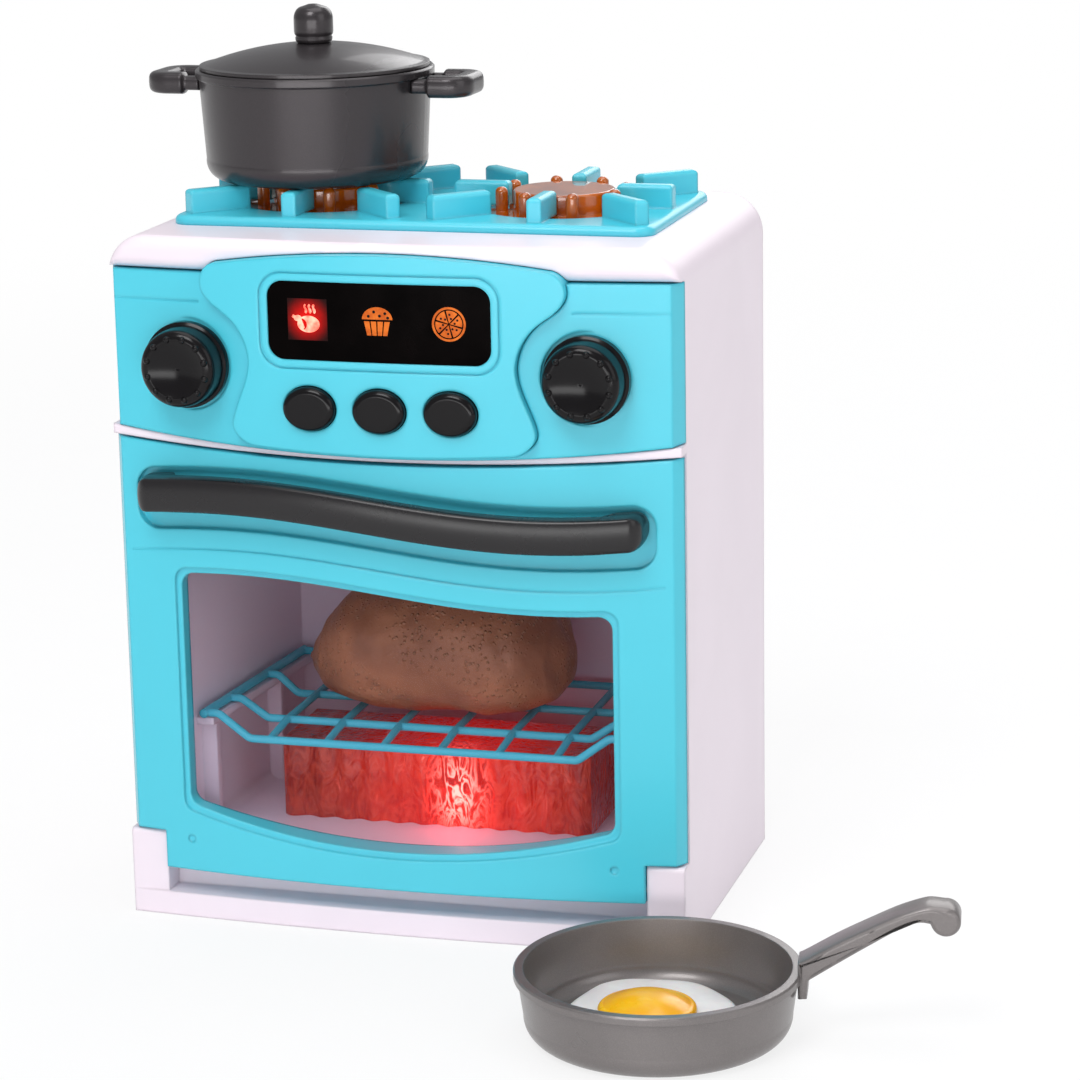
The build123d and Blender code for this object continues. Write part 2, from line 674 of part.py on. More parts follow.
with BuildPart() as door_shell:
    add(
        front_slab(
            lambda: bowed_plan(FRONT, DOOR_BOW, DOOR_SEAM, SIDE_DRAFT),
            DOOR_BOTTOM,
            DOOR_SIDE_TOP,
            door_outline,
        )
    )
    add(door_pocket.part, mode=Mode.SUBTRACT)
    with BuildSketch(Plane.XZ):
        window_outline()
    extrude(amount=REACH, both=True, mode=Mode.SUBTRACT)
    # stepped rim round the window, handle recess and the groove below the handle
    add(skin_cut(1.6, lambda: window_outline(2.2)), mode=Mode.SUBTRACT)
    add(skin_cut(RECESS_DEEP, recess_outline), mode=Mode.SUBTRACT)
    add(skin_cut(GROOVE_DEEP, lambda: wave_band(-22.4, -21.7, HALF - 6)), mode=Mode.SUBTRACT)
    # seat of the window pane
    with BuildSketch(on_y(DOOR_SEAM)):
        window_outline(3.2)
    extrude(amount=PANE_THICKNESS + 0.1, mode=Mode.SUBTRACT)
    # dimples by the lower corners
    with BuildSketch(on_y(bow_at(DIMPLE_OUT, FRONT, DOOR_BOW) + 0.9)):
        with Locations((-DIMPLE_OUT, HINGE_UP + 8.2), (DIMPLE_OUT, HINGE_UP + 8.2)):
            Circle(1.5)
    extrude(amount=10, mode=Mode.SUBTRACT)
    # pin holes at the foot, screw holes from behind
    for side in (-1, 1):
        with BuildSketch(Plane.YZ.offset(side * (PIN_OUTER - PIN_LONG - 0.2))):
            with Locations((HINGE_Y, HINGE_UP)):
                Circle(PIN_RADIUS + 0.02)
        extrude(amount=side * PIN_LONG, mode=Mode.SUBTRACT)
    with BuildSketch(on_y(DOOR_SEAM)):
        with Locations(*DOOR_SCREWS):
            Circle(1.02)
    extrude(amount=3.8, mode=Mode.SUBTRACT)
    with BuildSketch(on_y(DOOR_SEAM)):
        with Locations(*HANDLE_SCREWS):
            Circle(3.0)
    extrude(amount=2.0, mode=Mode.SUBTRACT)
    with BuildSketch(on_y(DOOR_SEAM)):
        with Locations(*HANDLE_SCREWS):
            Circle(1.3)
    extrude(amount=20, mode=Mode.SUBTRACT)
save(door_shell, "door_shell")

with BuildPart() as door_inner_frame:
    with BuildSketch(on_y(FITTED)):
        door_outline(1.2)
    extrude(amount=INNER_FRAME_THICKNESS)
    with BuildSketch(on_y(FITTED)):
        window_outline(1.0)
    extrude(amount=INNER_FRAME_THICKNESS, mode=Mode.SUBTRACT)
    fillet(faces().sort_by(Axis.Y)[-1].edges(), 0.5)
    with BuildSketch(on_y(FITTED)):
        with Locations(*DOOR_SCREWS):
            Circle(1.15)
    extrude(amount=INNER_FRAME_THICKNESS, mode=Mode.SUBTRACT)
    with BuildSketch(on_y(FITTED)):
        with Locations(*DOOR_SCREWS):
            Circle(2.5)
    extrude(amount=1.3, mode=Mode.SUBTRACT)
save(door_inner_frame, "door_inner_frame")

with BuildPart() as window_pane:
    with BuildSketch(on_y(DOOR_SEAM)):
        window_outline(3.0)
    extrude(amount=PANE_THICKNESS)
save(window_pane, "window_pane")

with BuildPart() as door_frame_screws:
    with BuildSketch(on_y(FITTED - 0.1)):
        with Locations(*DOOR_SCREWS):
            Circle(2.3)
    extrude(amount=1.2)
    with BuildSketch(on_y(FITTED - 1.3)):
        with Locations(*DOOR_SCREWS):
            Circle(1.0)
    extrude(amount=4.4)
    with BuildSketch(on_y(FITTED - 0.1)):
        with Locations(*DOOR_SCREWS):
            Rectangle(2.8, 0.6)
            Rectangle(0.6, 2.8)
    extrude(amount=0.7, mode=Mode.SUBTRACT)
save(door_frame_screws, "door_frame_screws")

with BuildPart() as hinge_pins:
    for side in (-1, 1):
        with BuildSketch(Plane.YZ.offset(side * (PIN_OUTER - PIN_LONG))):
            with Locations((HINGE_Y, HINGE_UP)):
                Circle(PIN_RADIUS)
        extrude(amount=side * PIN_LONG)
save(hinge_pins, "hinge_pins")

HANDLE_FRONT = FRONT - HANDLE_STAND
HANDLE_END = 12.0  # length of the solid foot at each end of the bar


def handle_plan():
    """Bar seen from above: it bows with the door and turns back to it at both ends."""
    end_front = bow_at(HANDLE_HALF - 6, HANDLE_FRONT + 2.5, DOOR_BOW)
    inner = HANDLE_HALF - HANDLE_END
    with BuildLine() as border:
        ThreePointArc(
            (-HANDLE_HALF, end_front), (0, HANDLE_FRONT - DOOR_BOW), (HANDLE_HALF, end_front)
        )
        Line((HANDLE_HALF, end_front), (HANDLE_HALF, DOOR_SEAM))
        Line((HANDLE_HALF, DOOR_SEAM), (inner, DOOR_SEAM))
        Line((inner, DOOR_SEAM), (inner, end_front + HANDLE_THICK - 1))
        ThreePointArc(
            (inner, end_front + HANDLE_THICK - 1),
            (0, HANDLE_FRONT - DOOR_BOW + HANDLE_THICK),
            (-inner, end_front + HANDLE_THICK - 1),
        )
        Line((-inner, end_front + HANDLE_THICK - 1), (-inner, DOOR_SEAM))
        Line((-inner, DOOR_SEAM), (-HANDLE_HALF, DOOR_SEAM))
        Line((-HANDLE_HALF, DOOR_SEAM), (-HANDLE_HALF, end_front))
    make_face(border.edges())
    fillet(vertices().group_by(Axis.Y)[1], 5.0)


def handle_outline():
    wave_band(-HANDLE_TALL / 2, HANDLE_TALL / 2, HANDLE_HALF + 0.3)
    fillet(vertices(), 4.5)


recess_floor = front_slab(
    lambda: bowed_plan(FRONT + RECESS_DEEP, DOOR_BOW, DOOR_SEAM), 0, HEIGHT, casing_outline
)
with BuildPart() as door_handle:
    add(front_slab(handle_plan, DOOR_MIDDLE_TOP - 60, DOOR_SIDE_TOP, handle_outline))
    add(recess_floor, mode=Mode.SUBTRACT)
    with BuildSketch(on_y(FRONT + 3)):
        with Locations(*HANDLE_SCREWS):
            Circle(1.02)
    extrude(amount=9.2, mode=Mode.SUBTRACT)
save(door_handle, "door_handle")

with BuildPart() as door_handle_screws:
    with BuildSketch(on_y(DOOR_SEAM - 0.1)):
        with Locations(*HANDLE_SCREWS):
            Circle(2.8)
    extrude(amount=1.9)
    with BuildSketch(on_y(DOOR_SEAM - 2.0)):
        with Locations(*HANDLE_SCREWS):
            Circle(1.0)
    extrude(amount=9)
save(door_handle_screws, "door_handle_screws")

# ---------------------------------------------------------------- control panel and display console
KNOB_SEAT = FRONT - 3.8  # flat seat under each knob, in front of the casing's corners
KNOB_BACK = KNOB_SEAT - 0.5

with BuildPart() as panel_pocket:
    add(
        front_slab(
            lambda: bowed_plan(FRONT + DOOR_SKIN, DOOR_BOW, FACE, SIDE_DRAFT, DOOR_SKIN),
            PANEL_MIDDLE_BOTTOM,
            CAP_BOTTOM,
            lambda: panel_outline(DOOR_SKIN),
        )
    )
    with BuildSketch(Plane.XZ):
        console_outline(SLIP + DOOR_SKIN)
    extrude(amount=REACH, both=True, mode=Mode.SUBTRACT)
    with BuildSketch(Plane.XZ):
        with Locations((-KNOB_OUT, KNOB_UP), (KNOB_OUT, KNOB_UP)):
            Circle(KNOB_RADIUS + 4)
    extrude(amount=REACH, both=True, mode=Mode.SUBTRACT)


def panel_lines():
    with Locations((20 - HALF, HEIGHT - 22.5), (HALF - 20, HEIGHT - 22.5)):
        Rectangle(34, 0.7)


with BuildPart() as control_panel:
    add(
        front_slab(
            lambda: bowed_plan(FRONT, DOOR_BOW, FACE, SIDE_DRAFT),
            PANEL_MIDDLE_BOTTOM,
            CAP_BOTTOM,
            panel_outline,
        )
    )
    add(panel_pocket.part, mode=Mode.SUBTRACT)
    add(skin_cut(GROOVE_DEEP, panel_lines), mode=Mode.SUBTRACT)
    with BuildSketch(Plane.XZ):
        console_outline(SLIP)
    extrude(amount=REACH, both=True, mode=Mode.SUBTRACT)
    with BuildSketch(on_y(KNOB_SEAT)):
        with Locations((-KNOB_OUT, KNOB_UP), (KNOB_OUT, KNOB_UP)):
            Circle(KNOB_RADIUS + 1.2)
    extrude(amount=20, mode=Mode.SUBTRACT)
    with BuildSketch(on_y(FACE)):
        with Locations((-KNOB_OUT, KNOB_UP), (KNOB_OUT, KNOB_UP)):
            Circle(KNOB_SHAFT + SLIP)
    extrude(amount=30, mode=Mode.SUBTRACT)
save(control_panel, "control_panel")

DISPLAY_MIDDLE = DISPLAY_HIGH - DISPLAY_TALL / 2
BUTTONS = [("left", -BUTTON_PITCH), ("middle", 0.0), ("right", BUTTON_PITCH)]
CONSOLE_FRONT = FRONT - CONSOLE_RAISE


def console_ring():
    with Locations((0, DISPLAY_MIDDLE)):
        RectangleRounded(2 * DISPLAY_HALF + 6.8, DISPLAY_TALL + 6.8, 9.0)
        RectangleRounded(2 * DISPLAY_HALF + 5.4, DISPLAY_TALL + 5.4, 8.3, mode=Mode.SUBTRACT)


def lens_outline(grow=0.0):
    with Locations((0, DISPLAY_MIDDLE)):
        RectangleRounded(2 * DISPLAY_HALF + 2 * grow, DISPLAY_TALL + 2 * grow, 6.0)


console_groove = front_slab(
    lambda: bowed_plan(FRONT - 20, DOOR_BOW, CONSOLE_FRONT + GROOVE_DEEP, back_bow=DOOR_BOW),
    0,
    HEIGHT,
    console_ring,
)
with BuildPart() as display_console:
    add(
        front_slab(
            lambda: bowed_plan(CONSOLE_FRONT, DOOR_BOW, FACE), 0, HEIGHT, console_outline
        )
    )
    add(
        front_slab(
            lambda: bowed_plan(CONSOLE_FRONT + DOOR_SKIN, DOOR_BOW, FACE),
            0,
            HEIGHT,
            lambda: console_outline(-DOOR_SKIN),
        ),
        mode=Mode.SUBTRACT,
    )
    add(console_groove, mode=Mode.SUBTRACT)
    with BuildSketch(Plane.XZ):
        lens_outline(0.1)
        with Locations(*[(x, BUTTON_UP) for _, x in BUTTONS]):
            Ellipse(BUTTON_WIDE / 2 + SLIP, BUTTON_TALL / 2 + SLIP)
    extrude(amount=REACH, both=True, mode=Mode.SUBTRACT)
save(display_console, "display_console")

LENS_SINK = 0.6
display_lens = front_slab(
    lambda: bowed_plan(
        CONSOLE_FRONT + LENS_SINK,
        DOOR_BOW,
        CONSOLE_FRONT + LENS_SINK + LENS_THICKNESS,
        back_bow=DOOR_BOW,
    ),
    0,
    HEIGHT,
    lens_outline,
)
with BuildPart() as lens:
    add(display_lens)
save(lens, "display_lens")

with BuildPart() as icon_light_box:
    add(
        front_slab(
            lambda: bowed_plan(
                CONSOLE_FRONT + LENS_SINK + LENS_THICKNESS, DOOR_BOW, BOARD_FRONT - SLIP
            ),
            0,
            HEIGHT,
            lambda: lens_outline(-0.4),
        )
    )
    with BuildSketch(Plane.XZ):
        with Locations((0, ICON_UP - 0.5)):
            with GridLocations(ICON_PITCH, 0, 3, 1):
                Rectangle(ICON_PITCH - 2.4, DISPLAY_TALL - 5)
    extrude(amount=REACH, both=True, mode=Mode.SUBTRACT)
save(icon_light_box, "icon_light_box")

with BuildPart() as main_circuit_board:
    with BuildSketch(on_y(BOARD_FRONT + BOARD_THICK)):
        with Locations((0, (BOARD_LOW + BOARD_HIGH) / 2)):
            Rectangle(BOARD_WIDE, BOARD_HIGH - BOARD_LOW)
    extrude(amount=BOARD_THICK)
    with BuildSketch(on_y(BOARD_FRONT + BOARD_THICK + 1.6)):
        with Locations((-20, BOARD_LOW + 16)):
            Rectangle(14, 10)
        with Locations((18, BOARD_LOW + 43)):
            Rectangle(8, 6)
        with Locations((30, BOARD_LOW + 11)):
            Rectangle(10, 6)
    extrude(amount=1.6)
save(main_circuit_board, "main_circuit_board")

with BuildPart() as icon_lamps:
    with BuildSketch(on_y(BOARD_FRONT)):
        with Locations((-ICON_PITCH, ICON_UP), (0, ICON_UP), (ICON_PITCH, ICON_UP)):
            Circle(2.5)
    extrude(amount=4.6)
    fillet(faces().filter_by(Plane.XZ).group_by(Axis.Y)[0].edges(), 2.0)
save(icon_lamps, "icon_lamps")

PAD_TOP = BOARD_FRONT - 3.3
with BuildPart() as button_pads:
    with BuildSketch(on_y(BOARD_FRONT)):
        with Locations((0, BUTTON_UP)):
            RectangleRounded(2 * BUTTON_PITCH + 24, 13, 3)
    extrude(amount=1.5)
    with BuildSketch(on_y(BOARD_FRONT - 1.5)):
        with Locations(*[(x, BUTTON_UP) for _, x in BUTTONS]):
            Circle(5)
    extrude(amount=1.8, taper=25)
save(button_pads, "button_pads")

BUTTON_STEM = PAD_TOP - BUTTON_TRAVEL - SLIP
for name, x in BUTTONS:
    surface = bow_at(abs(x), CONSOLE_FRONT, DOOR_BOW)
    flange = bow_at(abs(x) + BUTTON_WIDE / 2 + 1.2, CONSOLE_FRONT, DOOR_BOW) + DOOR_SKIN + SLIP
    with BuildPart() as button:
        with BuildSketch(on_y(flange)):
            with Locations((x, BUTTON_UP)):
                Ellipse(BUTTON_WIDE / 2, BUTTON_TALL / 2)
        extrude(amount=flange - surface + 3.0)
        fillet(faces().sort_by(Axis.Y)[0].edges(), 2.4)
        with BuildSketch(on_y(flange)):
            with Locations((x, BUTTON_UP)):
                Ellipse(BUTTON_WIDE / 2 + 1.2, BUTTON_TALL / 2 + 1.2)
        extrude(amount=-1.4)
        with BuildSketch(on_y(flange + 1.4)):
            with Locations((x, BUTTON_UP)):
                Circle(3)
        extrude(amount=flange + 1.4 - BUTTON_STEM)
    save(button, f"{name}_button")

for name, side in (("left", -1), ("right", 1)):
    knob_plane = Plane(origin=(side * KNOB_OUT, KNOB_BACK, KNOB_UP), z_dir=(0, 0, 1))
    knob_axis = Axis((side * KNOB_OUT, 0, KNOB_UP), (0, 1, 0))
    with BuildPart() as knob:
        with BuildSketch(knob_plane):
            with BuildLine():
                Polyline((0, 0), (KNOB_RADIUS, 0), (KNOB_RADIUS, -3.0), (KNOB_RADIUS - 1, -3.6))
                Line((KNOB_RADIUS - 1, -3.6), (KNOB_RADIUS - 1.6, 2.9 - KNOB_TALL))
                ThreePointArc(
                    (KNOB_RADIUS - 1.6, 2.9 - KNOB_TALL),
                    (KNOB_RADIUS - 2.8, 0.7 - KNOB_TALL),
                    (KNOB_RADIUS - 5.2, -KNOB_TALL),
                )
                crown(KNOB_RADIUS - 5.2, -KNOB_TALL, KNOB_DISH - KNOB_TALL)
                Line((0, KNOB_DISH - KNOB_TALL), (0, 0))
            make_face()
        revolve(axis=knob_axis)
        with Locations(Plane((side * KNOB_OUT, KNOB_BACK - KNOB_TALL + 0.3, KNOB_UP), z_dir=(0, -1, 0))):
            with PolarLocations(PIP_RING, 12, 15):
                Sphere(PIP_RADIUS)
        with BuildSketch(on_y(KNOB_BACK)):
            with Locations((side * KNOB_OUT, KNOB_UP)):
                Circle(KNOB_SHAFT)
        extrude(amount=-(INNER_FACE + 4.6 - KNOB_BACK))
    save(knob, f"{name}_knob")
    with BuildPart() as click_wheel:
        with BuildSketch(on_y(INNER_FACE + 4.0)):
            with Locations((side * KNOB_OUT, KNOB_UP)):
                Circle(11)
                with PolarLocations(11.8, CLICK_TEETH):
                    Circle(2.0, mode=Mode.SUBTRACT)
                Circle(KNOB_SHAFT + 0.02, mode=Mode.SUBTRACT)
        extrude(amount=3.6)
    save(click_wheel, f"{name}_click_wheel")

with BuildPart() as click_springs:
    with BuildSketch(on_y(INNER_FACE + 3.8)):
        for side in (-1, 1):
            with BuildLine():
                above = [(-15, 0), (-3.4, 0), (0, -1.8), (3.4, 0), (15, 0)]
                below = [(x, z - SPRING_THICK) for x, z in reversed(above)]
                Polyline(
                    *[(side * KNOB_OUT + x, KNOB_UP + SPRING_UP + z) for x, z in above + below],
                    close=True,
                )
            make_face()
    extrude(amount=3.4)
save(click_springs, "click_springs")

# ---------------------------------------------------------------- oven cavity
LINER_BACK = CAVITY_BACK + WALL
CAVITY_SLOPE = CAVITY_DRAFT / (CAVITY_BACK - INNER_FACE)
RAIL_RADIUS = 1.7
BAR_RADIUS = 1.5
BED_RADIUS = 1.4  # the long bars of the rack's bed
BED_LIFT = 0.35  # they lie this much above the cross bars
RACK_FRONT = FRONT + 14.0
RACK_BACK = CAVITY_BACK - 8.0
LEDGE_TOP = RAIL_UP - RAIL_RADIUS - 0.2
LEDGE_WIDE = 6.5


def wall_at(y):
    """Inner side of the drafted cavity wall at depth y."""
    return CAVITY_HALF - CAVITY_SLOPE * (y - INNER_FACE)


def cavity_section(half, low, high):
    with Locations((0, (low + high) / 2)):
        RectangleRounded(2 * half, high - low, 4.0)


with BuildPart() as oven_liner:
    with BuildSketch(on_y(INNER_FACE)):
        cavity_section(CAVITY_HALF + WALL, CAVITY_LOW - WALL, CAVITY_HIGH + WALL)
    with BuildSketch(on_y(LINER_BACK)):
        cavity_section(wall_at(CAVITY_BACK) + WALL, CAVITY_LOW - WALL, CAVITY_HIGH - 4 + WALL)
    loft()
    with BuildSketch(on_y(INNER_FACE + LINER_FLANGE)):
        cavity_section(CAVITY_HALF + 6, CAVITY_LOW - 3, CAVITY_HIGH + 4)
    extrude(amount=LINER_FLANGE)
    with BuildSketch(on_y(INNER_FACE)):
        cavity_section(CAVITY_HALF, CAVITY_LOW, CAVITY_HIGH)
    with BuildSketch(on_y(CAVITY_BACK)):
        cavity_section(wall_at(CAVITY_BACK), CAVITY_LOW, CAVITY_HIGH - 4)
    loft(mode=Mode.SUBTRACT)
    # ledges for the rack, with two ribs under each
    for side in (-1, 1):
        with BuildSketch(Plane.XY.offset(LEDGE_TOP)):
            with BuildLine():
                Polyline(
                    (side * (wall_at(RACK_FRONT) + 1), RACK_FRONT),
                    (side * (wall_at(RACK_FRONT) - LEDGE_WIDE), RACK_FRONT),
                    (side * (wall_at(CAVITY_BACK) - LEDGE_WIDE), CAVITY_BACK),
                    (side * (wall_at(CAVITY_BACK) + 1), CAVITY_BACK),
                    close=True,
                )
            make_face()
        extrude(amount=-3)
        for rib in (RACK_FRONT + 6, 10.0):
            with BuildSketch(Plane.XY.offset(CAVITY_LOW - 0.5)):
                with BuildLine():
                    Polyline(
                        (side * (wall_at(rib) + 1), rib - 2),
                        (side * (wall_at(rib) - LEDGE_WIDE + 1), rib - 2),
                        (side * (wall_at(rib) - LEDGE_WIDE + 1), rib + 2),
                        (side * (wall_at(rib) + 1), rib + 2),
                        close=True,
                    )
                make_face()
            extrude(amount=LEDGE_TOP - 2.5 - CAVITY_LOW)
save(oven_liner, "oven_liner")

GLOW_HALF = CAVITY_HALF - 24.0
GLOW_FRONT = FRONT + 35.0
GLOW_DEEP = 40.0
GLOW_TALL = RACK_BED_UP - 8.0 - CAVITY_LOW
GLOW_WALL = 1.8
GLOW_RIPPLE = 0.9
GLOW_AT = 2.0  # the block stands this far to the right
with BuildPart() as glow_cover:
    steps = 24
    ripple = [
        (
            GLOW_AT - GLOW_HALF + 2 * GLOW_HALF * step / steps,
            GLOW_FRONT + GLOW_RIPPLE * cos(pi * step),
        )
        for step in range(steps + 1)
    ]
    with BuildSketch(Plane.XY.offset(CAVITY_LOW)):
        with BuildLine():
            Spline(*ripple)
            Polyline(
                ripple[-1],
                (GLOW_AT + GLOW_HALF, GLOW_FRONT + GLOW_DEEP),
                (GLOW_AT - GLOW_HALF, GLOW_FRONT + GLOW_DEEP),
                ripple[0],
            )
        make_face()
    extrude(amount=GLOW_TALL)
    with BuildSketch(Plane.XY.offset(CAVITY_LOW)):
        with Locations((GLOW_AT, GLOW_FRONT + GLOW_DEEP / 2)):
            Rectangle(2 * (GLOW_HALF - GLOW_WALL), GLOW_DEEP - 2 * GLOW_WALL - 1)
    extrude(amount=GLOW_TALL - GLOW_WALL, mode=Mode.SUBTRACT)
save(glow_cover, "glow_cover")

GLOW_LAMP_AT = (13.0, GLOW_FRONT + 11.0)
with BuildPart() as glow_lamp:
    with BuildSketch(Plane.XY.offset(CAVITY_LOW)):
        with Locations(GLOW_LAMP_AT):
            Rectangle(30, 12)
    extrude(amount=1.6)
    with BuildSketch(Plane.XY.offset(CAVITY_LOW + 1.6)):
        with Locations(GLOW_LAMP_AT):
            with GridLocations(14, 0, 2, 1):
                Circle(2.5)
    extrude(amount=6.4)
    fillet(faces().filter_by(Plane.XY).group_by(Axis.Z)[-1].edges(), 2.2)
save(glow_lamp, "glow_lamp")

RACK_BED_HALF = CAVITY_HALF - 21.0
BED_PITCH = (RACK_BED_HALF - 8.0) / 2.5
RACK_CROSS = [(RACK_FRONT, RACK_FRONT_UP)] + [
    (RACK_FRONT + part * (RACK_BACK - RACK_FRONT), RACK_BED_UP) for part in (0.23, 0.61, 1.0)
]


def rail_at(y):
    return wall_at(y) - 3.6


with BuildPart() as oven_rack:
    for y, up in RACK_CROSS:
        with BuildLine() as bar:
            FilletPolyline(
                (-rail_at(y), y, RAIL_UP),
                (5.0 - rail_at(y), y, RAIL_UP),
                (-RACK_BED_HALF, y, up),
                (RACK_BED_HALF, y, up),
                (rail_at(y) - 5.0, y, RAIL_UP),
                (rail_at(y), y, RAIL_UP),
                radius=4.0,
            )
        with BuildSketch(Plane(origin=bar.line @ 0, z_dir=bar.line % 0)):
            Circle(BAR_RADIUS)
        sweep(path=bar.line)
    for x in [BED_PITCH * place for place in (-2.5, -1.5, -0.5, 0.5, 1.5, 2.5)]:
        with BuildLine() as bar:
            FilletPolyline(
                (x, RACK_FRONT, RACK_FRONT_UP + BED_LIFT),
                (x, RACK_CROSS[1][0], RACK_BED_UP + BED_LIFT),
                (x, RACK_BACK, RACK_BED_UP + BED_LIFT),
                radius=6.0,
            )
        with BuildSketch(Plane(origin=bar.line @ 0, z_dir=bar.line % 0)):
            Circle(BED_RADIUS)
        sweep(path=bar.line)
    for side in (-1, 1):
        with BuildLine() as bar:
            Line(
                (side * rail_at(RACK_FRONT - 2), RACK_FRONT - 2, RAIL_UP),
                (side * rail_at(RACK_BACK + 2), RACK_BACK + 2, RAIL_UP),
            )
        with BuildSketch(Plane(origin=bar.line @ 0, z_dir=bar.line % 0)):
            Circle(RAIL_RADIUS)
        sweep(path=bar.line)
save(oven_rack, "oven_rack")

ROAST_BOTTOM = RACK_BED_UP + BED_LIFT + BED_RADIUS + 0.2
ROAST_AT = (-4.0, (RACK_FRONT + RACK_BACK) / 2 + 4.0)
# side position, half depth, half height, middle above the rack's cross bars
ROAST_SECTIONS = [
    (-50.5, 4.0, 4.0, 19.0),
    (-45.0, 17.0, 13.5, 21.0),
    (-32.0, 27.0, 23.0, 25.0),
    (-8.0, 32.0, 27.0, 27.5),
    (16.0, 33.0, 27.0, 27.5),
    (35.0, 27.0, 22.5, 26.0),
    (45.0, 16.0, 14.5, 23.0),
    (49.5, 4.0, 4.0, 21.0),
]
with BuildPart() as roast:
    for x, deep, tall, up in ROAST_SECTIONS:
        with BuildSketch(Plane.YZ.offset(ROAST_AT[0] + x)):
            with Locations((ROAST_AT[1], RACK_BED_UP + up)):
                Ellipse(deep, tall)
    loft()
    split(bisect_by=Plane.XY.offset(ROAST_BOTTOM), keep=Keep.TOP)
save(roast, "roast")

# ---------------------------------------------------------------- hob and burners
HOB_TOP = HEIGHT + HOB_THICK
FLANGE_THICK = 1.4
BURNER_STEP = HOB_TOP - 1.2
BURNERS = [("left", -BURNER_OUT), ("right", BURNER_OUT)]

with BuildPart() as hob_plate:
    with BuildSketch(Plane.XY.offset(HEIGHT)):
        with Locations((0, (HOB_FRONT + HOB_BACK) / 2)):
            RectangleRounded(2 * HOB_HALF, HOB_BACK - HOB_FRONT, 7.0)
    extrude(amount=HOB_THICK)
    fillet(faces().sort_by(Axis.Z)[-1].edges(), 2.4)
    for _, x in BURNERS:
        with BuildSketch(Plane.XY.offset(HEIGHT)):
            with Locations((x, BURNER_BACK)):
                Circle(BURNER_HOLE + SLIP)
        extrude(amount=HOB_THICK, mode=Mode.SUBTRACT)
        with BuildSketch(Plane.XY.offset(HEIGHT)):
            with Locations((x, BURNER_BACK)):
                Circle(BURNER_HOLE + 4 + SLIP)
        extrude(amount=FLANGE_THICK + 0.1, mode=Mode.SUBTRACT)
    # pan supports: four straight and four diagonal fins round each burner
    fin_low = HOB_TOP - 0.2
    for _, x in BURNERS:
        for turn in range(0, 360, 45):
            outer = FIN_REACH * (1.35 if turn % 90 else 1.0)
            inner = BURNER_HOLE + 0.8 if turn % 90 else FIN_INNER
            with BuildSketch(Plane.XY.offset(fin_low)):
                with Locations(Location((x, BURNER_BACK, 0), turn)):
                    with Locations(((outer + inner) / 2, 0)):
                        Rectangle(outer - inner, FIN_THICK)
            extrude(amount=FIN_TOP - fin_low)
    fin_tops = faces().filter_by(Plane.XY).filter_by_position(Axis.Z, FIN_TOP - 0.1, FIN_TOP + 0.1)
    fillet(fin_tops.edges(), 1.6)
save(hob_plate, "hob_plate")

for name, x in BURNERS:
    with BuildPart() as burner:
        with BuildSketch(Plane.XY.offset(HEIGHT)):
            with Locations((x, BURNER_BACK)):
                Circle(BURNER_HOLE + 4)
        extrude(amount=FLANGE_THICK)
        with BuildSketch(Plane.XY.offset(HEIGHT)):
            with Locations((x, BURNER_BACK)):
                Circle(BURNER_HOLE)
        extrude(amount=BURNER_STEP - HEIGHT)
        with BuildSketch(Plane.XY.offset(BURNER_STEP)):
            with Locations((x, BURNER_BACK)):
                Circle(BURNER_DRUM)
        extrude(amount=BURNER_TOP - BURNER_STEP)
        fillet(faces().sort_by(Axis.Z)[-1].edges(), 0.8)
        # hollow below
        with BuildSketch(Plane.XY.offset(HEIGHT)):
            with Locations((x, BURNER_BACK)):
                Circle(BURNER_DRUM - 1.6)
        extrude(amount=BURNER_TOP - 1.6 - HEIGHT, mode=Mode.SUBTRACT)
        with BuildSketch(Plane.XY.offset(BURNER_STEP - 0.1)):
            with Locations((x, BURNER_BACK)):
                with PolarLocations(PEG_RING, 8, 22.5):
                    Circle(PEG_RADIUS)
        extrude(amount=BURNER_TOP + 1.5 - BURNER_STEP)
        peg_tops = faces().filter_by(Plane.XY).group_by(Axis.Z)[-1]
        fillet(peg_tops.edges(), PEG_RADIUS - 0.3)
    save(burner, f"{name}_burner")
    with BuildPart() as burner_lamp:
        with BuildSketch(Plane.XY.offset(HEIGHT - WALL)):
            with Locations((x, BURNER_BACK)):
                Circle(BURNER_HOLE + 3)
        extrude(amount=-1.6)
        with BuildSketch(Plane.XY.offset(HEIGHT - WALL)):
            with Locations((x, BURNER_BACK)):
                with PolarLocations(8, 3):
                    Circle(2.5)
        extrude(amount=6)
        fillet(faces().filter_by(Plane.XY).group_by(Axis.Z)[-1].edges(), 2.2)
    save(burner_lamp, f"{name}_burner_lamp")

# ---------------------------------------------------------------- pot and lid
POT_BOTTOM = FIN_TOP + 0.2
POT_RIM = POT_BOTTOM + POT_TALL
POT_FOOT = POT_RADIUS - 2.0
POT_LIP = 1.1
pot_plane = upright_at(*POT_AT)
pot_axis = Axis((POT_AT[0], POT_AT[1], 0), (0, 0, 1))

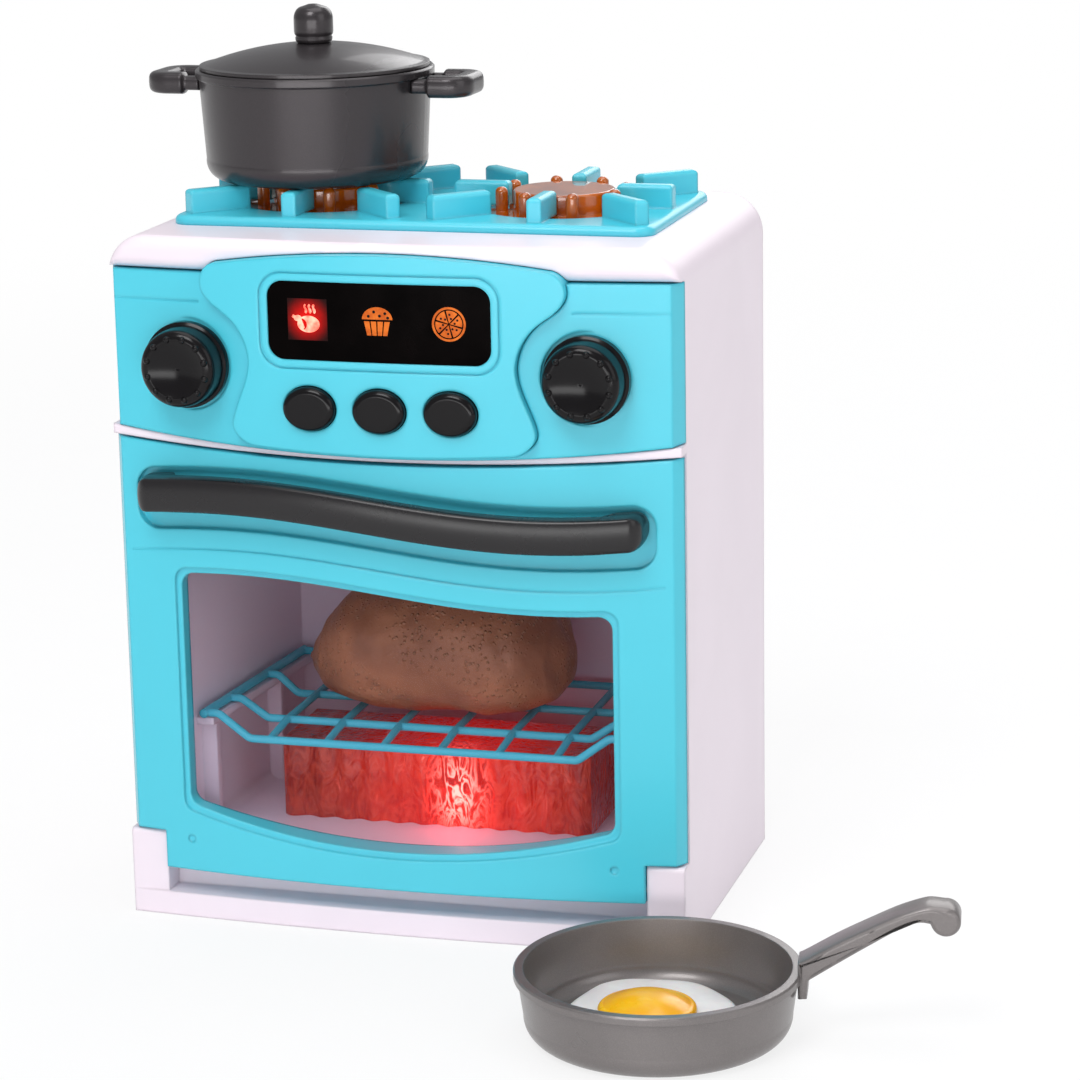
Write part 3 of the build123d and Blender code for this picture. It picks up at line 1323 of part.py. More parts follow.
with BuildPart() as pot:
    with BuildSketch(pot_plane):
        with BuildLine():
            Line((0, POT_BOTTOM), (POT_FOOT - 7, POT_BOTTOM))
            ThreePointArc(
                (POT_FOOT - 7, POT_BOTTOM),
                (POT_FOOT - 1.6, POT_BOTTOM + 2.4),
                (POT_FOOT, POT_BOTTOM + 8),
            )
            Polyline(
                (POT_FOOT, POT_BOTTOM + 8),
                (POT_RADIUS - 0.2, POT_RIM - 3.4),
                (POT_RADIUS + POT_LIP, POT_RIM - 2.8),
                (POT_RADIUS + POT_LIP, POT_RIM - 0.6),
                (POT_RADIUS + POT_LIP - 0.6, POT_RIM),
                (POT_RADIUS - COOK_WALL, POT_RIM),
                (POT_FOOT - COOK_WALL, POT_BOTTOM + 8),
            )
            ThreePointArc(
                (POT_FOOT - COOK_WALL, POT_BOTTOM + 8),
                (POT_FOOT - COOK_WALL - 1.6, POT_BOTTOM + 3.7),
                (POT_FOOT - 7.5, POT_BOTTOM + COOK_WALL),
            )
            Polyline(
                (POT_FOOT - 7.5, POT_BOTTOM + COOK_WALL),
                (0, POT_BOTTOM + COOK_WALL),
                (0, POT_BOTTOM),
            )
        make_face()
    revolve(axis=pot_axis)
save(pot, "pot")

GRIP_OUT = POT_RADIUS + 15.5  # middle of the crossbar from the pot's middle
GRIP_LONG = 30.0
GRIP_RADIUS = 4.8
GRIP_UP = POT_RIM - 5.6
ARM_PITCH = 15.0
for name, side in (("left", -1), ("right", 1)):
    with BuildPart() as grip:
        with BuildSketch(Plane.XZ.offset(-POT_AT[1] - GRIP_LONG / 2)):
            with Locations((POT_AT[0] + side * GRIP_OUT, GRIP_UP)):
                Circle(GRIP_RADIUS)
        extrude(amount=GRIP_LONG)
        fillet(faces().filter_by(Plane.XZ).edges(), 3.0)
        with BuildSketch(Plane.XY.offset(GRIP_UP - 2)):
            with Locations((POT_AT[0] + side * (GRIP_OUT + POT_RADIUS - 4) / 2, POT_AT[1])):
                with GridLocations(0, ARM_PITCH, 1, 2):
                    Rectangle(GRIP_OUT - POT_RADIUS + 4, 5.0)
        extrude(amount=4)
        with BuildSketch(pot_plane):
            with BuildLine():
                Polyline(
                    (0, POT_BOTTOM + 8),
                    (POT_FOOT + 0.05, POT_BOTTOM + 8),
                    (POT_RADIUS - 0.15, POT_RIM - 3.4),
                    (0, POT_RIM - 3.4),
                    close=True,
                )
            make_face()
        revolve(axis=pot_axis, mode=Mode.SUBTRACT)
    save(grip, f"pot_{name}_handle")

LID_EDGE = POT_RADIUS - 0.6
LID_BASE = POT_RIM + 0.2
LID_SKIRT = POT_RADIUS - COOK_WALL - 1.0
LID_TOP = POT_RIM + LID_RISE
with BuildPart() as pot_lid:
    with BuildSketch(pot_plane):
        with BuildLine():
            Polyline(
                (LID_SKIRT - 1.4, LID_BASE),
                (LID_SKIRT - 1.4, LID_BASE - 2.6),
                (LID_SKIRT, LID_BASE - 2.6),
                (LID_SKIRT, LID_BASE),
                (LID_EDGE, LID_BASE),
                (LID_EDGE, LID_BASE + 1.2),
                (LID_EDGE - 2.2, LID_BASE + 1.6),
            )
            crown(LID_EDGE - 2.2, LID_BASE + 1.6, LID_TOP)
            Line((0, LID_TOP), (0, LID_TOP - 1.8))
            crown(LID_SKIRT - 1.4, LID_BASE, LID_TOP - 1.8)
        make_face()
    revolve(axis=pot_axis)
    # flat seat and screw hole of the knob
    with BuildSketch(Plane.XY.offset(LID_TOP - 0.3)):
        with Locations(POT_AT):
            Circle(5.0)
    extrude(amount=1, mode=Mode.SUBTRACT)
    with BuildSketch(Plane.XY.offset(LID_TOP - 5)):
        with Locations(POT_AT):
            Circle(1.6)
    extrude(amount=6, mode=Mode.SUBTRACT)
save(pot_lid, "pot_lid")

LID_KNOB_BASE = LID_TOP - 0.3
LID_KNOB_RADIUS = 7.25
with BuildPart() as lid_knob:
    with BuildSketch(pot_plane):
        with BuildLine():
            Line((0, LID_KNOB_BASE - 2.4), (1.5, LID_KNOB_BASE - 2.4))
            Polyline((1.5, LID_KNOB_BASE - 2.4), (1.5, LID_KNOB_BASE), (4.8, LID_KNOB_BASE))
            ThreePointArc(
                (4.8, LID_KNOB_BASE),
                (5.1, LID_KNOB_BASE + 2.4),
                (LID_KNOB_RADIUS - 0.4, LID_KNOB_BASE + 4.6),
            )
            Polyline(
                (LID_KNOB_RADIUS - 0.4, LID_KNOB_BASE + 4.6),
                (LID_KNOB_RADIUS, LID_KNOB_BASE + 5.4),
                (LID_KNOB_RADIUS, LID_KNOB_BASE + 9.5),
            )
            ThreePointArc(
                (LID_KNOB_RADIUS, LID_KNOB_BASE + 9.5),
                (LID_KNOB_RADIUS - 0.9, LID_KNOB_BASE + 12.0),
                (LID_KNOB_RADIUS - 3.0, LID_KNOB_BASE + 13.6),
            )
            crown(LID_KNOB_RADIUS - 3.0, LID_KNOB_BASE + 13.6, LID_KNOB_BASE + LID_KNOB_TALL)
            Line((0, LID_KNOB_BASE + LID_KNOB_TALL), (0, LID_KNOB_BASE - 2.4))
        make_face()
    revolve(axis=pot_axis)
save(lid_knob, "lid_knob")

# ---------------------------------------------------------------- frying pan and egg
PAN_FOOT = PAN_RADIUS - 4.0
PAN_FLOOR = COOK_WALL
pan_plane = upright_at(*PAN_AT)
pan_axis = Axis((PAN_AT[0], PAN_AT[1], 0), (0, 0, 1))
with BuildPart() as frying_pan:
    with BuildSketch(pan_plane):
        with BuildLine():
            Line((0, 0), (PAN_FOOT - 5, 0))
            ThreePointArc((PAN_FOOT - 5, 0), (PAN_FOOT - 0.8, 2.8), (PAN_FOOT + 0.8, 8))
            Polyline(
                (PAN_FOOT + 0.8, 8),
                (PAN_RADIUS - 1.4, PAN_TALL - 3.4),
                (PAN_RADIUS, PAN_TALL - 2.8),
                (PAN_RADIUS, PAN_TALL - 0.6),
                (PAN_RADIUS - 0.6, PAN_TALL),
                (PAN_RADIUS - 1.4 - COOK_WALL, PAN_TALL),
                (PAN_FOOT + 0.8 - COOK_WALL, 8),
            )
            ThreePointArc(
                (PAN_FOOT + 0.8 - COOK_WALL, 8), (PAN_FOOT - 2.5, 4.1), (PAN_FOOT - 5.5, PAN_FLOOR)
            )
            Polyline((PAN_FOOT - 5.5, PAN_FLOOR), (0, PAN_FLOOR), (0, 0))
        make_face()
    revolve(axis=pan_axis)
save(frying_pan, "frying_pan")

handle_side = upright_at(*PAN_AT, PAN_TURN)
wall, rim, low = PAN_RADIUS, PAN_TALL, PAN_TALL / 2
with BuildPart() as pan_handle:
    with BuildSketch(handle_side):
        with BuildLine():
            Polyline((wall - 4, low), (wall + 1.6, low), (wall + 2.4, rim - 2.5))
            Spline(
                (wall + 2.4, rim - 2.5),
                (wall + 13, rim + 4.2),
                (wall + 23, rim + 10.8),
                (wall + 33, rim + 17.0),
                (wall + 41, rim + 19.4),
            )
            Polyline((wall + 41, rim + 19.4), (wall + 44, rim + 20.0), (wall + 44, rim + 24.2))
            Spline(
                (wall + 44, rim + 24.2),
                (wall + 33, rim + 21.8),
                (wall + 17, rim + 15.2),
                (wall + 2.4, rim + 7.0),
            )
            Polyline((wall + 2.4, rim + 7.0), (wall - 4, rim + 3.0), (wall - 4, low))
        make_face()
        with Locations((wall + 48.6, rim + 19.8)):
            Circle(5.2)
    extrude(amount=6.6, both=True)
    # the pan's outside, so that the root lies against the wall
    with BuildSketch(pan_plane):
        with BuildLine():
            Polyline(
                (0, 0),
                (PAN_FOOT + 0.85, 8),
                (PAN_RADIUS - 1.35, PAN_TALL - 3.4),
                (PAN_RADIUS + 0.05, PAN_TALL - 2.8),
                (PAN_RADIUS + 0.05, PAN_TALL + 16),
                (0, PAN_TALL + 16),
                close=True,
            )
        make_face()
    revolve(axis=pan_axis, mode=Mode.SUBTRACT)
save(pan_handle, "pan_handle")

EGG_AT = (PAN_AT[0] - 6.1, PAN_AT[1] + 6.0)
EGG_HALF = PAN_FOOT - 14.0
EGG_THICK = 2.8
EGG_BOTTOM = PAN_FLOOR + 0.2
# distance of the white's edge from its middle every 36 degrees, in shares of EGG_HALF
EGG_EDGE = [0.97, 0.77, 0.97, 0.98, 0.87, 1.02, 0.9, 0.79, 0.97, 0.86]
with BuildPart() as egg_white:
    points = [
        (
            EGG_AT[0] + EGG_HALF * reach * cos(radians(36 * place + 10)),
            EGG_AT[1] + EGG_HALF * reach * sin(radians(36 * place + 10)),
        )
        for place, reach in enumerate(EGG_EDGE)
    ]
    with BuildSketch(Plane.XY.offset(EGG_BOTTOM)):
        with BuildLine():
            Spline(*points, periodic=True)
        make_face()
    extrude(amount=EGG_THICK)
    fillet(faces().sort_by(Axis.Z)[-1].edges(), 1.6)
save(egg_white, "egg_white")

YOLK_AT = (EGG_AT[0] + 1.5, EGG_AT[1] - 3.0)
YOLK_RADIUS = 17.0
YOLK_TALL = 7.5
with BuildPart() as egg_yolk:
    low = EGG_BOTTOM + EGG_THICK
    with BuildSketch(upright_at(*YOLK_AT)):
        with BuildLine():
            Line((0, low), (YOLK_RADIUS - 0.8, low))
            ThreePointArc(
                (YOLK_RADIUS - 0.8, low), (YOLK_RADIUS, low + 1.4), (YOLK_RADIUS - 2.0, low + 3.6)
            )
            crown(YOLK_RADIUS - 2.0, low + 3.6, low + YOLK_TALL)
            Line((0, low + YOLK_TALL), (0, low))
        make_face()
    revolve(axis=Axis((YOLK_AT[0], YOLK_AT[1], 0), (0, 0, 1)))
save(egg_yolk, "egg_yolk")
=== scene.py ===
"""Looks of the toy oven: camera, lights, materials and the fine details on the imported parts."""

import json
from math import cos, exp, pi, radians, sin

import bmesh
import bpy
from mathutils import Matrix, Vector, noise


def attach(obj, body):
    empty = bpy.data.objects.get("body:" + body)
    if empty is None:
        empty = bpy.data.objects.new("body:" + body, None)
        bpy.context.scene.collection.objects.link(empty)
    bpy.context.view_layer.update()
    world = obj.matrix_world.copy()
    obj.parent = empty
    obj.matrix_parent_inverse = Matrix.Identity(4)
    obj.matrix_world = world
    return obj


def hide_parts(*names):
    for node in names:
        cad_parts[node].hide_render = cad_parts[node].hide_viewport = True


MM = 0.001

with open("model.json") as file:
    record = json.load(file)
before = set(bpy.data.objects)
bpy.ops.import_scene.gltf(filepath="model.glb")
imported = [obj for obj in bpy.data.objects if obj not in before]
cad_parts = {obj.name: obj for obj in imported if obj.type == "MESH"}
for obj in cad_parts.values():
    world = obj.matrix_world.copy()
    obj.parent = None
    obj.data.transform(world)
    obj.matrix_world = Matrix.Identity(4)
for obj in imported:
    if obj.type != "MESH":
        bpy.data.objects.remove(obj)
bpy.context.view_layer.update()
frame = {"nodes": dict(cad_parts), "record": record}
nodes = frame["nodes"]
scene = bpy.context.scene

# ---------------------------------------------------------------- camera
FOCAL_PX = 3581.3
IMAGE_PX = 1080.0
YAW, PITCH, ROLL = 0.2807, 0.2448, -0.0187
CAMERA_AT = Vector((394.2, -1246.4, 457.6)) * MM

forward = Vector((-sin(YAW) * cos(PITCH), cos(YAW) * cos(PITCH), -sin(PITCH)))
level = Vector((cos(YAW), sin(YAW), 0.0))
lift = level.cross(forward)
right = cos(ROLL) * level + sin(ROLL) * lift
up = -sin(ROLL) * level + cos(ROLL) * lift
camera = bpy.data.objects.new("camera", bpy.data.cameras.new("camera"))
scene.collection.objects.link(camera)
camera.data.sensor_width = 36.0
camera.data.lens = FOCAL_PX * 36.0 / IMAGE_PX
camera.data.clip_end = 20.0
turned = Matrix((right, up, -forward)).transposed().to_4x4()
camera.matrix_world = Matrix.Translation(CAMERA_AT) @ turned
scene.camera = camera
scene.view_settings.view_transform = "Standard"


# ---------------------------------------------------------------- node helpers
def srgb(red, green, blue):
    """Linear colour of an 8-bit display colour."""
    linear = [(c / 255 / 12.92) if c <= 10 else ((c / 255 + 0.055) / 1.055) ** 2.4 for c in (red, green, blue)]
    return (*linear, 1.0)


def tint(colour, factor):
    return (*[min(1.0, c * factor) for c in colour[:3]], 1.0)


class Nodes:
    """A material's node tree with short calls for the nodes used here."""

    def __init__(self, name):
        self.material = bpy.data.materials.new(name)
        self.material.use_nodes = True
        self.tree = self.material.node_tree
        self.tree.nodes.clear()
        self.output = self.add("ShaderNodeOutputMaterial")
        self.shader = self.add("ShaderNodeBsdfPrincipled")
        self.join(self.shader.outputs[0], self.output.inputs["Surface"])
        self.coords = self.add("ShaderNodeTexCoord").outputs["Object"]

    def add(self, kind, **values):
        made = self.tree.nodes.new(kind)
        for key, value in values.items():
            setattr(made, key, value)
        return made

    def join(self, out, into):
        self.tree.links.new(out, into)

    def set(self, **values):
        for key, value in values.items():
            self.shader.inputs[key.replace("_", " ")].default_value = value

    def noise(self, scale, detail=2.0, rough=0.5, distort=0.0, vector=None):
        made = self.add("ShaderNodeTexNoise")
        made.inputs["Scale"].default_value = scale
        made.inputs["Detail"].default_value = detail
        made.inputs["Roughness"].default_value = rough
        made.inputs["Distortion"].default_value = distort
        self.join(vector or self.coords, made.inputs["Vector"])
        return made.outputs["Fac"]

    def cells(self, scale, feature="F1", vector=None):
        made = self.add("ShaderNodeTexVoronoi", feature=feature)
        made.inputs["Scale"].default_value = scale
        self.join(vector or self.coords, made.inputs["Vector"])
        return made.outputs["Distance"]

    def stretch(self, scale, vector=None):
        made = self.add("ShaderNodeMapping")
        made.inputs["Scale"].default_value = scale
        self.join(vector or self.coords, made.inputs["Vector"])
        return made.outputs[0]

    def span(self, value, low, high, to_low=0.0, to_high=1.0):
        made = self.add("ShaderNodeMapRange", interpolation_type="SMOOTHSTEP")
        for key, number in (("From Min", low), ("From Max", high), ("To Min", to_low), ("To Max", to_high)):
            made.inputs[key].default_value = number
        self.join(value, made.inputs["Value"])
        return made.outputs[0]

    def maths(self, operation, first, second):
        made = self.add("ShaderNodeMath", operation=operation)
        for place, value in enumerate((first, second)):
            if isinstance(value, (int, float)):
                made.inputs[place].default_value = value
            else:
                self.join(value, made.inputs[place])
        return made.outputs[0]

    def blend(self, factor, first, second):
        made = self.add("ShaderNodeMix", data_type="RGBA")
        self.join(factor, made.inputs[0])
        for place, value in ((6, first), (7, second)):
            if isinstance(value, tuple):
                made.inputs[place].default_value = value
            else:
                self.join(value, made.inputs[place])
        return made.outputs[2]

    def bump(self, height, strength, distance, under=None):
        made = self.add("ShaderNodeBump")
        made.inputs["Strength"].default_value = strength
        made.inputs["Distance"].default_value = distance
        self.join(height, made.inputs["Height"])
        if under is not None:
            self.join(under, made.inputs["Normal"])
        return made.outputs[0]

    def soft_edges(self, radius):
        made = self.add("ShaderNodeBevel", samples=6)
        made.inputs["Radius"].default_value = radius
        return made.outputs[0]

    def colour(self, value):
        self.join(value, self.shader.inputs["Base Color"])

    def roughness(self, value):
        self.join(value, self.shader.inputs["Roughness"])

    def normal(self, value):
        self.join(value, self.shader.inputs["Normal"])


def moulded(name, colour, rough, grain=0.02, edge=0.7, coat=0.0, shade=0.02, metallic=0.0, gloss=0.5):
    """Injection-moulded plastic: faint flow marks, fine skin, softened edges."""
    n = Nodes(name)
    n.set(IOR=1.5, Metallic=metallic, Coat_Weight=coat, Coat_Roughness=0.08, Specular_IOR_Level=gloss)
    flow = n.noise(9.0, 3.0, 0.55, 0.6)
    n.colour(n.blend(n.span(flow, 0.3, 0.7), tint(colour, 1 - shade), tint(colour, 1 + shade)))
    skin = n.noise(60.0, 4.0, 0.6)
    n.roughness(n.span(skin, 0.3, 0.75, rough * 0.96, rough * 1.05))
    fine = n.noise(900.0, 2.0, 0.5)
    rounded = n.soft_edges(edge * MM)
    n.normal(n.bump(fine, grain, 0.0001, n.bump(n.noise(18.0, 0.0), 0.03, 0.0008, rounded)))
    return n.material


def pearl(name, colour, rough, metallic):
    """Plastic with fine metal flakes under a clear skin."""
    n = Nodes(name)
    n.set(IOR=1.5, Metallic=metallic, Coat_Weight=0.2, Coat_Roughness=0.07, Specular_IOR_Level=0.35)
    flakes = n.cells(3400.0)
    flow = n.noise(14.0, 4.0, 0.6, 1.2)
    base = n.blend(n.span(flow, 0.3, 0.7), tint(colour, 0.93), tint(colour, 1.07))
    n.colour(n.blend(n.span(flakes, 0.0, 0.55, 0.35, 0.0), base, tint(colour, 1.9)))
    n.roughness(n.span(flow, 0.3, 0.7, rough * 0.85, rough * 1.2))
    n.normal(n.bump(flakes, 0.12, 0.00012, n.soft_edges(0.6 * MM)))
    return n.material


def see_through(n, shader, clear=(1.0, 1.0, 1.0, 1.0)):
    """Lets lamp light pass a clear or translucent shader, so that what is behind it is lit."""
    path = n.add("ShaderNodeLightPath").outputs["Is Shadow Ray"]
    plain = n.add("ShaderNodeBsdfTransparent")
    plain.inputs["Color"].default_value = clear
    mixed = n.add("ShaderNodeMixShader")
    n.join(path, mixed.inputs[0])
    n.join(shader, mixed.inputs[1])
    n.join(plain.outputs[0], mixed.inputs[2])
    n.join(mixed.outputs[0], n.output.inputs["Surface"])


def clear_pane(name):
    n = Nodes(name)
    n.set(Base_Color=(0.88, 0.85, 0.89, 1.0), Transmission_Weight=1.0, IOR=1.1, Specular_IOR_Level=0.3)
    haze = n.noise(35.0, 5.0, 0.65)
    n.roughness(n.span(haze, 0.45, 0.8, 0.01, 0.05))
    n.normal(n.bump(n.noise(16.0, 2.0), 0.05, 0.001))
    see_through(n, n.shader.outputs[0], (0.64, 0.6, 0.66, 1.0))
    return n.material


def amber(name):
    """Translucent amber plastic with moulding swirls, and a faint painted glow from its own emission."""
    n = Nodes(name)
    n.set(IOR=1.5, Transmission_Weight=0.3, Coat_Weight=0.8, Coat_Roughness=0.03)
    swirl = n.noise(45.0, 4.0, 0.6, 1.5)
    n.colour(n.blend(n.span(swirl, 0.3, 0.7), srgb(172, 78, 8), srgb(222, 114, 18)))
    n.roughness(n.span(swirl, 0.3, 0.7, 0.06, 0.12))
    n.normal(n.bump(swirl, 0.12, 0.0006, n.soft_edges(0.5 * MM)))
    # painted glow: faint emission, though the amber is no lamp
    n.join(n.blend(swirl, srgb(190, 80, 20), srgb(255, 130, 40)), n.shader.inputs["Emission Color"])
    n.set(Emission_Strength=0.02)
    return n.material


GLOW_AT = Vector((11.0, -34.0, 44.0)) * MM


def glowing_red(name):
    """Rippled red block: bright curled strands where the lamp is, ripple crests painted lighter and small emitted
    sparkles elsewhere, both painted highlights.
    """
    n = Nodes(name)
    n.set(IOR=1.49, Coat_Weight=0.7, Coat_Roughness=0.03)
    lean = n.stretch((1.0, 0.7, 0.42))
    strands = n.noise(165.0, 2.5, 0.55, 2.4, lean)
    off_middle = n.maths("ABSOLUTE", n.maths("SUBTRACT", strands, 0.5), 0.0)
    crest = n.maths("SUBTRACT", 1.0, n.maths("MULTIPLY", off_middle, 8.0))
    ridge = n.span(crest, 0.0, 1.0)
    patches = n.noise(70.0, 3.0, 0.6, 0.5)
    deep = n.blend(n.span(patches, 0.3, 0.7), srgb(138, 30, 18), srgb(196, 62, 40))
    # ripple crests are painted lighter than the rest: a painted highlight along the strands
    n.colour(n.blend(n.maths("MULTIPLY", ridge, 0.5), deep, srgb(214, 84, 54)))
    n.roughness(n.span(patches, 0.3, 0.7, 0.05, 0.16))
    away = n.add("ShaderNodeVectorMath", operation="DISTANCE")
    squeezed = n.stretch((1.0, 0.7, 0.62))
    n.join(squeezed, away.inputs[0])
    away.inputs[1].default_value = (GLOW_AT.x, GLOW_AT.y * 0.7, GLOW_AT.z * 0.62)
    distance = away.outputs["Value"]
    core = n.span(distance, 0.001, 0.016, 1.0, 0.0)
    halo = n.span(distance, 0.004, 0.06, 1.0, 0.08)
    hot = n.maths("MULTIPLY", core, n.maths("MULTIPLY", ridge, 2.4))
    strength = n.maths("ADD", n.maths("MULTIPLY", halo, 0.5), hot)
    # painted highlights: small emitted sparkles on the crests, away from the lamp
    painted_glints = n.maths("MULTIPLY", n.span(crest, 0.82, 1.0), n.span(patches, 0.58, 0.7))
    strength = n.maths("ADD", strength, n.maths("MULTIPLY", painted_glints, 0.45))
    n.join(strength, n.shader.inputs["Emission Strength"])
    lit = n.blend(n.maths("MAXIMUM", n.maths("MULTIPLY", core, ridge), painted_glints), srgb(255, 14, 12), srgb(255, 150, 138))
    n.join(lit, n.shader.inputs["Emission Color"])
    n.normal(n.bump(strands, 1.0, 0.0026, n.bump(patches, 0.6, 0.0025)))
    return n.material


def roasted_skin(name):
    n = Nodes(name)
    n.set(IOR=1.45, Coat_Weight=0.12, Coat_Roughness=0.3)
    broad = n.noise(28.0, 4.0, 0.6, 0.4)
    pimples = n.cells(520.0)
    where = n.span(n.noise(30.0, 2.0), 0.36, 0.58)
    dots = n.maths("MULTIPLY", n.span(pimples, 0.0, 0.4, 1.0, 0.0), where)
    base = n.blend(n.span(broad, 0.3, 0.7), srgb(136, 84, 56), srgb(176, 116, 80))
    n.colour(n.blend(n.maths("MULTIPLY", dots, 0.7), base, srgb(216, 162, 124)))
    n.roughness(n.span(broad, 0.3, 0.7, 0.38, 0.55))
    wrinkles = n.noise(160.0, 5.0, 0.65, 0.8)
    n.normal(n.bump(dots, 0.9, 0.0012, n.bump(wrinkles, 0.45, 0.001)))
    return n.material


def egg_skin(name, inner, outer, rough, coat):
    n = Nodes(name)
    n.set(IOR=1.45, Coat_Weight=coat, Coat_Roughness=0.1, Subsurface_Weight=0.15, Subsurface_Scale=0.002)
    cloud = n.noise(55.0, 4.0, 0.6, 0.4)
    n.colour(n.blend(n.span(cloud, 0.3, 0.7), inner, outer))
    n.roughness(n.span(cloud, 0.3, 0.7, rough * 0.8, rough * 1.2))
    n.normal(n.bump(n.noise(240.0, 3.0, 0.5), 0.12, 0.0006))
    return n.material


def plated(name, colour, rough):
    n = Nodes(name)
    n.set(Metallic=1.0)
    scratches = n.noise(240.0, 5.0, 0.7, 0.0, n.stretch((1.0, 9.0, 1.0)))
    stain = n.noise(700.0, 3.0, 0.6)
    n.colour(n.blend(n.span(stain, 0.3, 0.7), tint(colour, 0.8), tint(colour, 1.15)))
    n.roughness(n.span(scratches, 0.3, 0.7, rough * 0.7, rough * 1.4))
    n.normal(n.bump(scratches, 0.15, 0.0002, n.soft_edges(0.15 * MM)))
    return n.material


def display_black(name):
    n = Nodes(name)
    n.set(IOR=1.5, Specular_IOR_Level=0.03)
    smoke = n.noise(50.0, 3.0, 0.6)
    n.colour(n.blend(n.span(smoke, 0.3, 0.7), srgb(1, 0, 0), srgb(5, 2, 2)))
    n.roughness(n.span(smoke, 0.3, 0.7, 0.1, 0.16))
    n.normal(n.bump(n.noise(1800.0), 0.02, 0.0001, n.soft_edges(0.3 * MM)))
    return n.material


def lit_ink(name, dark, bright, strength, spread=260.0):
    """Translucent printed colour lit from behind, with the print's slight unevenness."""
    n = Nodes(name)
    n.set(Emission_Strength=strength, Specular_IOR_Level=0.1)
    dots = n.noise(spread, 2.0, 0.6)
    ink = n.blend(n.span(dots, 0.3, 0.7), dark, bright)
    n.colour(n.blend(n.span(dots, 0.3, 0.7), tint(dark, 0.3), tint(bright, 0.3)))
    n.join(ink, n.shader.inputs["Emission Color"])
    n.roughness(n.span(dots, 0.3, 0.7, 0.15, 0.3))
    return n.material


ICON_LIT = Vector((-26.0, -78.8, 229.5)) * MM


def lit_haze(name):
    """Square patch of light behind the lit icon, brightest in its middle."""
    n = Nodes(name)
    n.set(Base_Color=(0.002, 0.001, 0.001, 1.0), Roughness=0.2, Specular_IOR_Level=0.1)
    away = n.add("ShaderNodeVectorMath", operation="DISTANCE")
    n.join(n.coords, away.inputs[0])
    away.inputs[1].default_value = ICON_LIT
    near = n.span(away.outputs["Value"], 0.0005, 0.0098, 1.15, 0.02)
    grain = n.span(n.noise(500.0, 2.0), 0.2, 0.8, 0.85, 1.1)
    n.join(n.maths("MULTIPLY", near, grain), n.shader.inputs["Emission Strength"])
    n.set(Emission_Color=srgb(232, 12, 6))
    return n.material


WHITE = moulded("white_moulding", srgb(234, 222, 231), 0.34, grain=0.0, edge=1.4, gloss=0.3)
CYAN = moulded("cyan_moulding", srgb(74, 195, 215), 0.26, grain=0.01, edge=1.5)
DARK = moulded("dark_gloss", srgb(13, 11, 13), 0.17, grain=0.01, edge=0.3, shade=0.1, gloss=0.22)
# lighter copy of the dark plastic for the door handle: glossier, and its colour painted lighter so the bar reads
# brighter than the knobs
HANDLE_LIGHTENED_DARK = moulded("handle_gloss_lightened", srgb(26, 24, 26), 0.27, grain=0.01, edge=0.3, shade=0.1, gloss=0.42)
AMBER = amber("amber_clear")
LOOKS = {
    "white_plastic": WHITE,
    "cyan_plastic": CYAN,
    "dark_plastic": DARK,
    "display_plastic": display_black("display_smoke"),
    "amber_plastic": AMBER,
    "red_plastic": glowing_red("red_ripple"),
    "clear_plastic": clear_pane("clear_window"),
    "pot_plastic": pearl("pot_pearl", srgb(58, 54, 56), 0.28, 0.5),
    "pan_plastic": pearl("pan_pearl", srgb(120, 115, 114), 0.32, 0.5),
    "roast_vinyl": roasted_skin("roast_skin"),
    "egg_white_vinyl": egg_skin("egg_white_skin", srgb(232, 230, 232), srgb(246, 245, 244), 0.4, 0.15),
    "egg_yolk_vinyl": egg_skin("egg_yolk_skin", srgb(246, 172, 4), srgb(255, 196, 14), 0.25, 0.2),
    "screw_steel": plated("screw_zinc", srgb(190, 190, 188), 0.35),
    "board_laminate": moulded("board_lacquer", srgb(30, 92, 44), 0.35, shade=0.15, coat=0.3),
    "lamp_epoxy": moulded("lamp_clear", srgb(240, 120, 96), 0.15, coat=0.5),
    "light_box_plastic": moulded("light_box_white", srgb(236, 236, 234), 0.5),
    "pad_rubber": moulded("pad_silicone", srgb(176, 176, 178), 0.6, shade=0.06),
    "cell_jacket": moulded("cell_wrap", srgb(52, 56, 60), 0.3, shade=0.15, coat=0.3, metallic=0.3),
    "speaker_black": moulded("speaker_cone", srgb(30, 30, 32), 0.7, grain=0.3, shade=0.2),
}
for part in frame["record"]["subparts"]:
    for slot in nodes[part["node"]].material_slots:
        slot.material = LOOKS[part["material_slot"]]


# ---------------------------------------------------------------- piece helpers
def piece(name, mesh, body, slot, look=None, smooth=True):
    made = bpy.data.objects.new(name, mesh)
    scene.collection.objects.link(made)
    mesh.materials.append(look or LOOKS[slot])
    for face in mesh.polygons:
        face.use_smooth = smooth
    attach(made, body)
    return made


def mesh_from(name, build):
    """Mesh made by a function that fills a bmesh in millimetres."""
    work = bmesh.new()
    build(work)
    bmesh.ops.scale(work, vec=(MM, MM, MM), verts=work.verts)
    bmesh.ops.recalc_face_normals(work, faces=work.faces)
    mesh = bpy.data.meshes.new(name)
    work.to_mesh(mesh)
    work.free()
    return mesh


def ease(t):
    return t * t * (3 - 2 * t)


def curve_between(p0, p1, p2, p3, t):
    """Value at share t of the way from p1 to p2 on the smooth curve through all four."""
    bend = (2 * p0 - 5 * p1 + 4 * p2 - p3) * t * t
    return 0.5 * (2 * p1 + (p2 - p0) * t + bend + (3 * p1 - p0 - 3 * p2 + p3) * t**3)


def skin(work, rows):
    """Closed tube through rows of points, with a flat face on each end."""
    count = len(rows[0])
    for a, b in zip(rows, rows[1:]):
        for j in range(count):
            k = (j + 1) % count
            work.faces.new((a[j], a[k], b[k], b[j]))
    work.faces.new(rows[0][::-1])
    work.faces.new(rows[-1])


